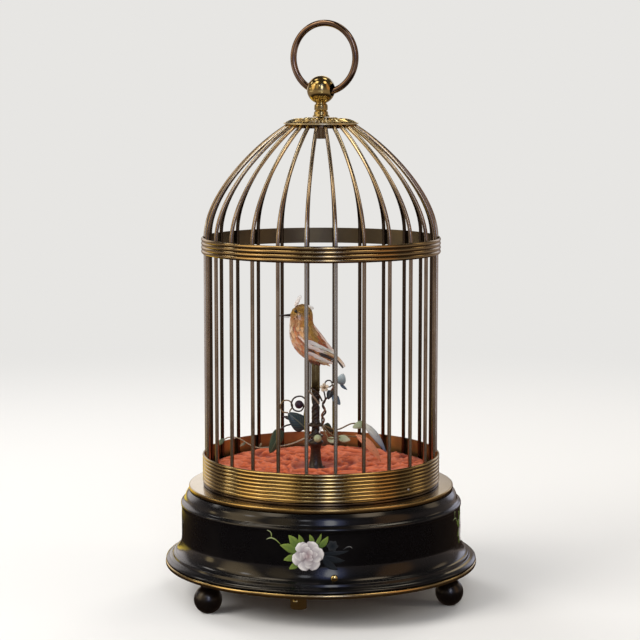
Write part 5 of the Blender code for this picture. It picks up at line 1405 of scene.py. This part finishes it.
def body_colour(seat, normal):
    """Colours of the plumage by place: pale front, streaked breast, golden and orange back."""
    x, y, z = (seat - perch) * 1000
    back = clamp(0.5 + 1.6 * (normal.x + 0.35 * normal.z))
    streak = speckle(x * 0.55 + 3, y * 0.8, z * 0.22)
    breast = tint(TAN, BUFF, clamp((15 - z) / 9))
    breast = tint(breast, RUST, clamp(streak * 3.0, 0.95))
    breast = tint(breast, PINK, clamp(-streak * 1.6, 0.45))
    breast = tint(breast, PINK_WHITE, clamp((-normal.x - 0.84) * 7, 0.9))
    rump = tint(ORANGE_BROWN, OLIVE_GOLD, clamp((z - 6) / 8))
    colour = tint(breast, rump, back)
    return colour, tint(colour, PINK_WHITE, 0.45)


def head_colour(seat, normal):
    """Colours of the head by place: buff throat, golden crown, orange nape and a lilac cheek."""
    x, y, z = (seat - perch) * 1000
    face = tint(TAN, BUFF, clamp((z - 16.5) / 3))
    face = tint(face, RUST, clamp(2.0 * speckle(x * 0.6, y, z * 0.4), 0.6))
    gold = tint(OLIVE_GOLD, OLIVE_BROWN, clamp(2.2 * speckle(x * 0.5, y, z * 0.5 + 4), 0.8))
    colour = tint(face, ORANGE_BROWN, clamp(0.3 + 1.3 * normal.x))
    colour = tint(colour, gold, clamp((z - 19.6) / 1.8))
    cheek = Vector((x + 9.0, abs(y) - 4.4, z - 20.2)).length
    colour = tint(colour, LILAC, clamp(1.1 - cheek * 0.5, 0.8))
    return colour, tint(colour, TAN, 0.3)


BODY = [
    (-7.2, 15.75, 5.35, 4.7), (-6.7, 11.6, 6.45, 5.6), (-4.6, 6.8, 6.95, 6.1), (-1.2, 2.8, 6.2, 5.6),
    (3.3, -0.1, 4.8, 4.5), (6.3, -2.1, 4.0, 3.5), (7.6, -3.0, 2.9, 2.5),
]
HEAD = [
    (-7.1, 16.1, 5.3, 4.6), (-7.15, 18.3, 5.5, 4.8), (-7.1, 20.9, 5.25, 4.7), (-7.3, 23.2, 4.0, 3.7),
    (-7.5, 24.5, 2.4, 2.2), (-7.55, 24.95, 0.6, 0.6),
]
plumage = Finish("plumage", sheen_weight=0.10, sheen_roughness=0.5, specular_ior_level=0.2)
colour_and_shade = plumage.attribute("paint")
lie = plumage.attribute("flow", 1)
across = plumage.along(lie, "X").wave("ABSOLUTE")
barb = ((plumage.along(lie, "Y") - across * 0.22) * 150.0).wave("SINE")
tuft = plumage.grain(plumage.place, 1600.0, 3.0)
shaft = 1 - across.rise(0.02, 0.10)
shadow = barb.rise(-1.0, 0.2) * 0.5 + 0.5
ruffled = plumage.mix((1 - shadow) * 0.24 + tuft.rise(0.5, 0.75) * 0.14, colour_and_shade, (0.10, 0.045, 0.020))
plumage.feed(base_color=plumage.mix(shaft * 0.20, ruffled, (0.55, 0.42, 0.30)))
plumage.feed(roughness=tuft * 0.3 + 0.6)
plumage.bump(barb * 0.5 + tuft, 0.00006, 0.6)

chance = random.Random(11)
body = sheets()
plump(body, BODY, first=Vector((0, 0, -1)))
spread_paint(body, (0.20, 0.09, 0.03))
tree = BVHTree.FromBMesh(body)
body_tree = tree
seats = seats_on(body, perch.z - 0.006, perch.z + 0.0156, 0.0014, chance)
coat(body, tree, seats, body_colour, DOWN_BACK, 0.0036, 0.00115, 0.00024, chance)
# Laid feathers: root and tip in the side view, half width, and the colours at the root and the tip.
BACK_FEATHERS = [
    ((-3.6, 16.4), (-2.6, 12.2), 1.1, OLIVE_BROWN, OLIVE_GOLD),
    ((-2.6, 16.2), (-1.2, 11.6), 1.0, DEEP_RUST, ORANGE_BROWN),
    ((-3.2, 13.6), (-1.8, 9.4), 1.1, OLIVE_BROWN, OLIVE_GOLD),
    ((-1.6, 13.2), (0.9, 9.2), 1.2, OLIVE_BROWN, TAN),
    ((-2.4, 11.0), (-0.6, 7.2), 1.2, OLIVE_BROWN, OLIVE_GOLD),
    ((-0.2, 11.8), (2.7, 8.0), 1.2, RUST, ORANGE_BROWN),
    ((-1.2, 9.2), (0.9, 5.6), 1.2, OLIVE_BROWN, OLIVE_GOLD),
    ((0.6, 9.4), (3.6, 5.6), 1.2, RUST, ORANGE_BROWN),
    ((2.4, 8.0), (5.4, 4.2), 1.0, DEEP_RUST, ORANGE_BROWN),
    ((0.6, 6.8), (3.8, 3.4), 1.1, DEEP_RUST, RUST),
    ((3.0, 5.2), (6.4, 1.9), 1.0, DEEP_RUST, RUST),
]
WING_FEATHERS = [
    ((0.2, -2.4), (7.2, -5.6), 0.65, GREEN_GREY, TAN),
    ((2.6, -2.0), (9.0, -5.2), 0.80, PALE_GREY, PINK_WHITE),
    ((-1.0, -0.3), (6.2, -3.6), 0.95, PALE_GREY, WHITE),
    ((-4.0, 1.5), (2.8, -1.8), 0.90, LILAC, PINK_WHITE),
    ((1.6, 0.9), (9.4, -3.2), 0.80, DARK_QUILL, DARK_QUILL),
    ((-3.9, 3.2), (-0.4, 1.2), 0.34, DARK_QUILL, DARK_QUILL),
    ((-0.4, 2.8), (6.6, 0.2), 0.75, LILAC, PINK_WHITE),
    ((3.0, 1.9), (9.5, -1.5), 0.60, GREEN_GREY, TAN),
    ((-4.2, 4.7), (2.2, 2.3), 0.85, LILAC, PINK_WHITE),
    ((2.2, 3.8), (9.5, -0.3), 0.85, GREEN_GREY, WHITE),
    ((-1.2, 5.4), (5.8, 1.9), 0.90, PALE_GREY, WHITE),
    ((-4.4, 7.3), (2.2, 4.0), 0.95, LILAC, WHITE),
    ((-5.4, 6.4), (-1.6, 4.0), 0.70, LILAC, PINK_WHITE),
    # This dark rust feather under the pink streak is painted shadow.
    ((-8.7, 8.9), (-6.0, 5.6), 0.42, DEEP_RUST, RUST),
    ((-8.6, 9.8), (-5.4, 6.6), 0.50, PINK, PINK_WHITE),
]
BREAST_FEATHERS = [
    ((-11.3, 15.8), (-10.3, 12.0), 0.75, DEEP_RUST, RUST),
    ((-9.2, 15.9), (-8.6, 11.8), 0.95, BUFF, TAN),
    ((-7.4, 15.9), (-6.6, 11.6), 0.90, BUFF, TAN),
    ((-10.4, 12.8), (-9.2, 9.0), 0.90, RUST, BUFF),
    ((-5.4, 15.9), (-4.6, 11.8), 0.90, PINK, PINK_WHITE),
    ((-7.6, 12.2), (-6.2, 8.8), 1.00, BUFF, TAN),
    ((-9.6, 9.0), (-7.4, 5.2), 0.90, RUST, BUFF),
    ((-6.2, 8.4), (-4.6, 5.4), 0.90, BUFF, TAN),
    ((-9.8, 6.0), (-7.0, 2.6), 0.85, RUST, TAN),
    ((-7.4, 5.2), (-4.6, 1.9), 1.00, RUST, BUFF),
    ((-7.2, 2.4), (-3.8, -0.4), 0.90, RUST, ORANGE_BROWN),
]
BACK_EDGE = (
    ((-1.5, 14.9), (3.2, 8.6), 0.45), ((1.0, 11.6), (6.6, 3.9), 0.60), ((3.5, 7.3), (9.8, 0.1), 0.75),
)
# Dark thigh feathers under the belly: their near-black rust is painted shadow where the legs meet the perch.
SHADOW_DARK_THIGH_FEATHERS = (((-3.0, -0.6), (-1.9, -4.7)), ((-1.5, -1.6), (0.1, -5.5)), ((0.4, -2.4), (2.1, -5.8)))
for side in (-1, 1):
    for feathers, lift in ((BACK_FEATHERS, 0.34), (BREAST_FEATHERS, 0.34), (WING_FEATHERS, 0.52)):
        for k, (root, tip, half_width, root_shade, tip_shade) in enumerate(feathers):
            rim = 0.15 if tip_shade == DARK_QUILL or feathers is BACK_FEATHERS else 0.45
            shade = fade(root_shade, tip_shade, tint(tip_shade, WHITE, 0.5), rim)
            outline = quill_outline if feathers is WING_FEATHERS else feather_outline
            laid(body, tree, side, root, tip, half_width, shade, lift + 0.015 * k, 0.04, outline)
    for root, tip, half_width in BACK_EDGE:
        shade = fade(PINK, PINK_WHITE, WHITE)
        start, end = (root[0], side * 1.7, root[1]), (tip[0], side * 1.5, tip[1])
        mark(body, start, end, half_width, shade, (0.25, side, 0.35), (0.1, side * 0.3, 0.1))
    # The dark thigh feathers: painted shadow under the belly.
    for root, tip in SHADOW_DARK_THIGH_FEATHERS:
        shade = fade(DEEP_RUST, DARK_QUILL, DEEP_RUST, 0.3)
        mark(body, (root[0], side * 3.2, root[1]), (tip[0], side * 2.5, tip[1]), 0.85, shade, (0, side, -0.2))
feathered = fit("feathered_body", body, plumage, nodes=["bird_body"], crease=70)
thicken(feathered, FEATHER_SHEET)

claws = bmesh.new()
for side in (-1, 1):
    hip, knee, ankle = (-1.4, side * 2.0, 0.4), (-1.6, side * 2.3, -0.6), (-1.0, side * 2.4, -1.3)
    tube(claws, [from_perch(*station) for station in smooth([hip, knee, ankle])], 0.0005, 8)
    for reach, fall in ((-3.0, -2.8), (-2.4, -4.2), (-1.2, -5.0), (2.6, -2.6)):
        toe = smooth([
            (-1.0, side * 2.4, -1.2, 0.50), (-1.0 + reach * 0.5, side * 2.6, fall * 0.45, 0.45),
            (-1.0 + reach * 0.85, side * 2.2, fall * 0.85, 0.38), (-1.0 + reach, side * 1.7, fall, 0.12),
        ])
        points = [from_perch(*station[:3]) for station in toe]
        tube(claws, points, [station[3] / 1000 for station in toe], 7)
horn = Finish("dark_horn", base_color=(0.018, 0.014, 0.013), coat_weight=0.5, coat_roughness=0.2)
ridge = horn.grain(horn.place, 900.0, 3.0)
horn.feed(roughness=ridge * 0.3 + 0.25)
horn.bump(ridge, 0.0001)
fit("wire_claws", claws, horn)

head = sheets()
plump(head, HEAD, first=Vector((0, 0, 1)), last=Vector((0, 0, 1)))
spread_paint(head, (0.16, 0.08, 0.03))
tree = BVHTree.FromBMesh(head)
seats = seats_on(head, perch.z + 0.0162, perch.z + 0.026, 0.00105, chance)
beak_root = from_perch(-12.7, 0, 19.5)
seats = [seat for seat in seats if (seat[0] - beak_root).length > 0.0011]
coat(head, tree, seats, head_colour, DOWN_NECK, 0.0023, 0.00080, 0.00020, chance)
# Two rows of feathers cover the joint of head and body: heights and lifts in millimetres, and count.
RUFF = (((16.9, 15.5, 13.9), (0.25, 0.42, 0.42), 30), ((17.9, 16.6, 15.2), (0.2, 0.34, 0.50), 30))
JOINT_HEIGHT = 16.15
for heights, rises, count in RUFF:
    for k in range(count):
        turn = math.tau * (k + chance.uniform(-0.3, 0.3)) / count
        way = Vector((math.cos(turn), math.sin(turn), 0))
        route = []
        for height, rise in zip(heights, rises):
            surface = tree if height > JOINT_HEIGHT else body_tree
            spot, normal = surface.ray_cast(from_perch(-7.1, 0, height) + way * 0.02, -way)[:2]
            route.append(spot + normal * rise / 1000)
        shiver = chance.uniform(0.8, 1.15)
        root = dimmed(head_colour(route[0], normal)[0], shiver * 0.6)
        tip = dimmed(body_colour(route[2], normal)[0], shiver)
        route[1] = route[1] * 2 - (route[0] + route[2]) / 2
        blade(head, route, way, 0.00095, feather_outline, fade(root, tip, tint(tip, TAN, 0.4)), 0.2, (4, 8))
crest = fade(PINK_WHITE, BRIGHT_WHITE, BRIGHT_WHITE)
nape = fade(PINK_WHITE, WHITE, BRIGHT_WHITE)
cap = fade(OLIVE_BROWN, OLIVE_BROWN, OLIVE_GOLD, 0.3)
for side in (-1, 1):
    root, tip = (-10.2, side * 0.3, 24.1), (-7.4, side * 0.5, 29.6)
    mark(head, root, tip, 1.00, crest, (-0.3, side, 0), (-0.3, 0, 0.2), 0.3)
    root, tip = (-6.6, side * 0.5, 24.5), (-1.0, side * 0.9, 22.9)
    mark(head, root, tip, 0.86, nape, (0.2, side, 0.5), (0, 0, 0.5), 0.3)
    laid(head, tree, side, (-10.6, 22.7), (-8.0, 22.3), 0.55, cap, 0.3)
    laid(head, tree, side, (-8.6, 22.9), (-5.6, 22.3), 0.70, cap, 0.3)
feathered = fit("feathered_head", head, plumage, "head", ["bird_head"], crease=70)
thicken(feathered, FEATHER_SHEET)

EYE = 0.00085
glass = Finish("glass_eye", base_color=(0.006, 0.004, 0.004), roughness=0.04, coat_weight=1.0)
eyes = bmesh.new()
for side in (-1, 1):
    seat = Matrix.Translation(from_perch(-9.9, side * 3.75, 22.0))
    bmesh.ops.create_uvsphere(eyes, u_segments=20, v_segments=14, radius=EYE, matrix=seat)
fit("glass_eyes", eyes, glass, "head", crease=80)

low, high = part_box("bird_beak")
upper = bmesh.new()
bill = smooth([(-10.2, 19.65, 1.05), (-12.7, 19.60, 0.76), (-15.4, 19.48, 0.54), (-18.3, 19.30, 0.26)])
tube(upper, [from_perch(x, 0, z) for x, z, radius in bill], [radius / 1000 for x, z, radius in bill], 14)
whole = [*upper.verts, *upper.edges, *upper.faces]
gape = Vector((0, 0, high.z + 0.00006))
bmesh.ops.bisect_plane(upper, geom=whole, plane_co=gape, plane_no=(0, 0, -1), clear_outer=True)
bmesh.ops.holes_fill(upper, edges=upper.edges)
fit("upper_beak", upper, horn, "head")
JAW_STEPS = 8
JAW_ROOT = 0.00042
JAW_TAPER = 0.0003
lower = bmesh.new()
jaw_height = high.z - 0.00015
shares = [k / JAW_STEPS for k in range(JAW_STEPS + 1)]
jaw = [Vector((low.x + (high.x - low.x) * (1 - share), 0, jaw_height)) for share in shares]
tube(lower, jaw, [JAW_ROOT - JAW_TAPER * share for share in shares], 12)
bmesh.ops.scale(lower, vec=(1, 1, 0.3), verts=lower.verts, space=Matrix.Translation((0, 0, -jaw_height)))
fit("lower_beak", lower, horn, "beak", ["bird_beak"])

HINGE = 0.00095
tail = sheets()
hinge = Matrix.Translation(from_perch(9.7, 0, -1.2)) @ Matrix.Rotation(math.pi / 2, 4, "X")
bmesh.ops.create_cone(
    tail, cap_ends=True, segments=24, radius1=HINGE, radius2=HINGE, depth=0.0031, matrix=hinge
)
spread_paint(tail, ORANGE_BROWN)
dark = fade(DARK_QUILL, (0.10, 0.08, 0.07), PINK_WHITE, 0.2)
for k in range(-3, 4):
    root, tip = (10.0, k * 0.25, -1.9), (14.3 - 0.2 * abs(k), k * 0.60, -7.0 - 0.05 * abs(k))
    mark(tail, root, tip, 0.70, dark, (0.7, k * 0.2, 0.7), (0.1, 0, 0.1))
light = fade(TAN, PINK_WHITE, WHITE)
for k in range(-2, 3):
    root, tip = (10.2, k * 0.3, -1.0), (15.0 - 0.1 * abs(k), k * 0.7, -6.5)
    mark(tail, root, tip, 0.80, light, (0.6, k * 0.5, 0.6), (0.25, 0, 0.25))
feathered = fit("tail_feathers", tail, plumage, "tail", ["bird_tail"], crease=70)
thicken(feathered, FEATHER_SHEET)
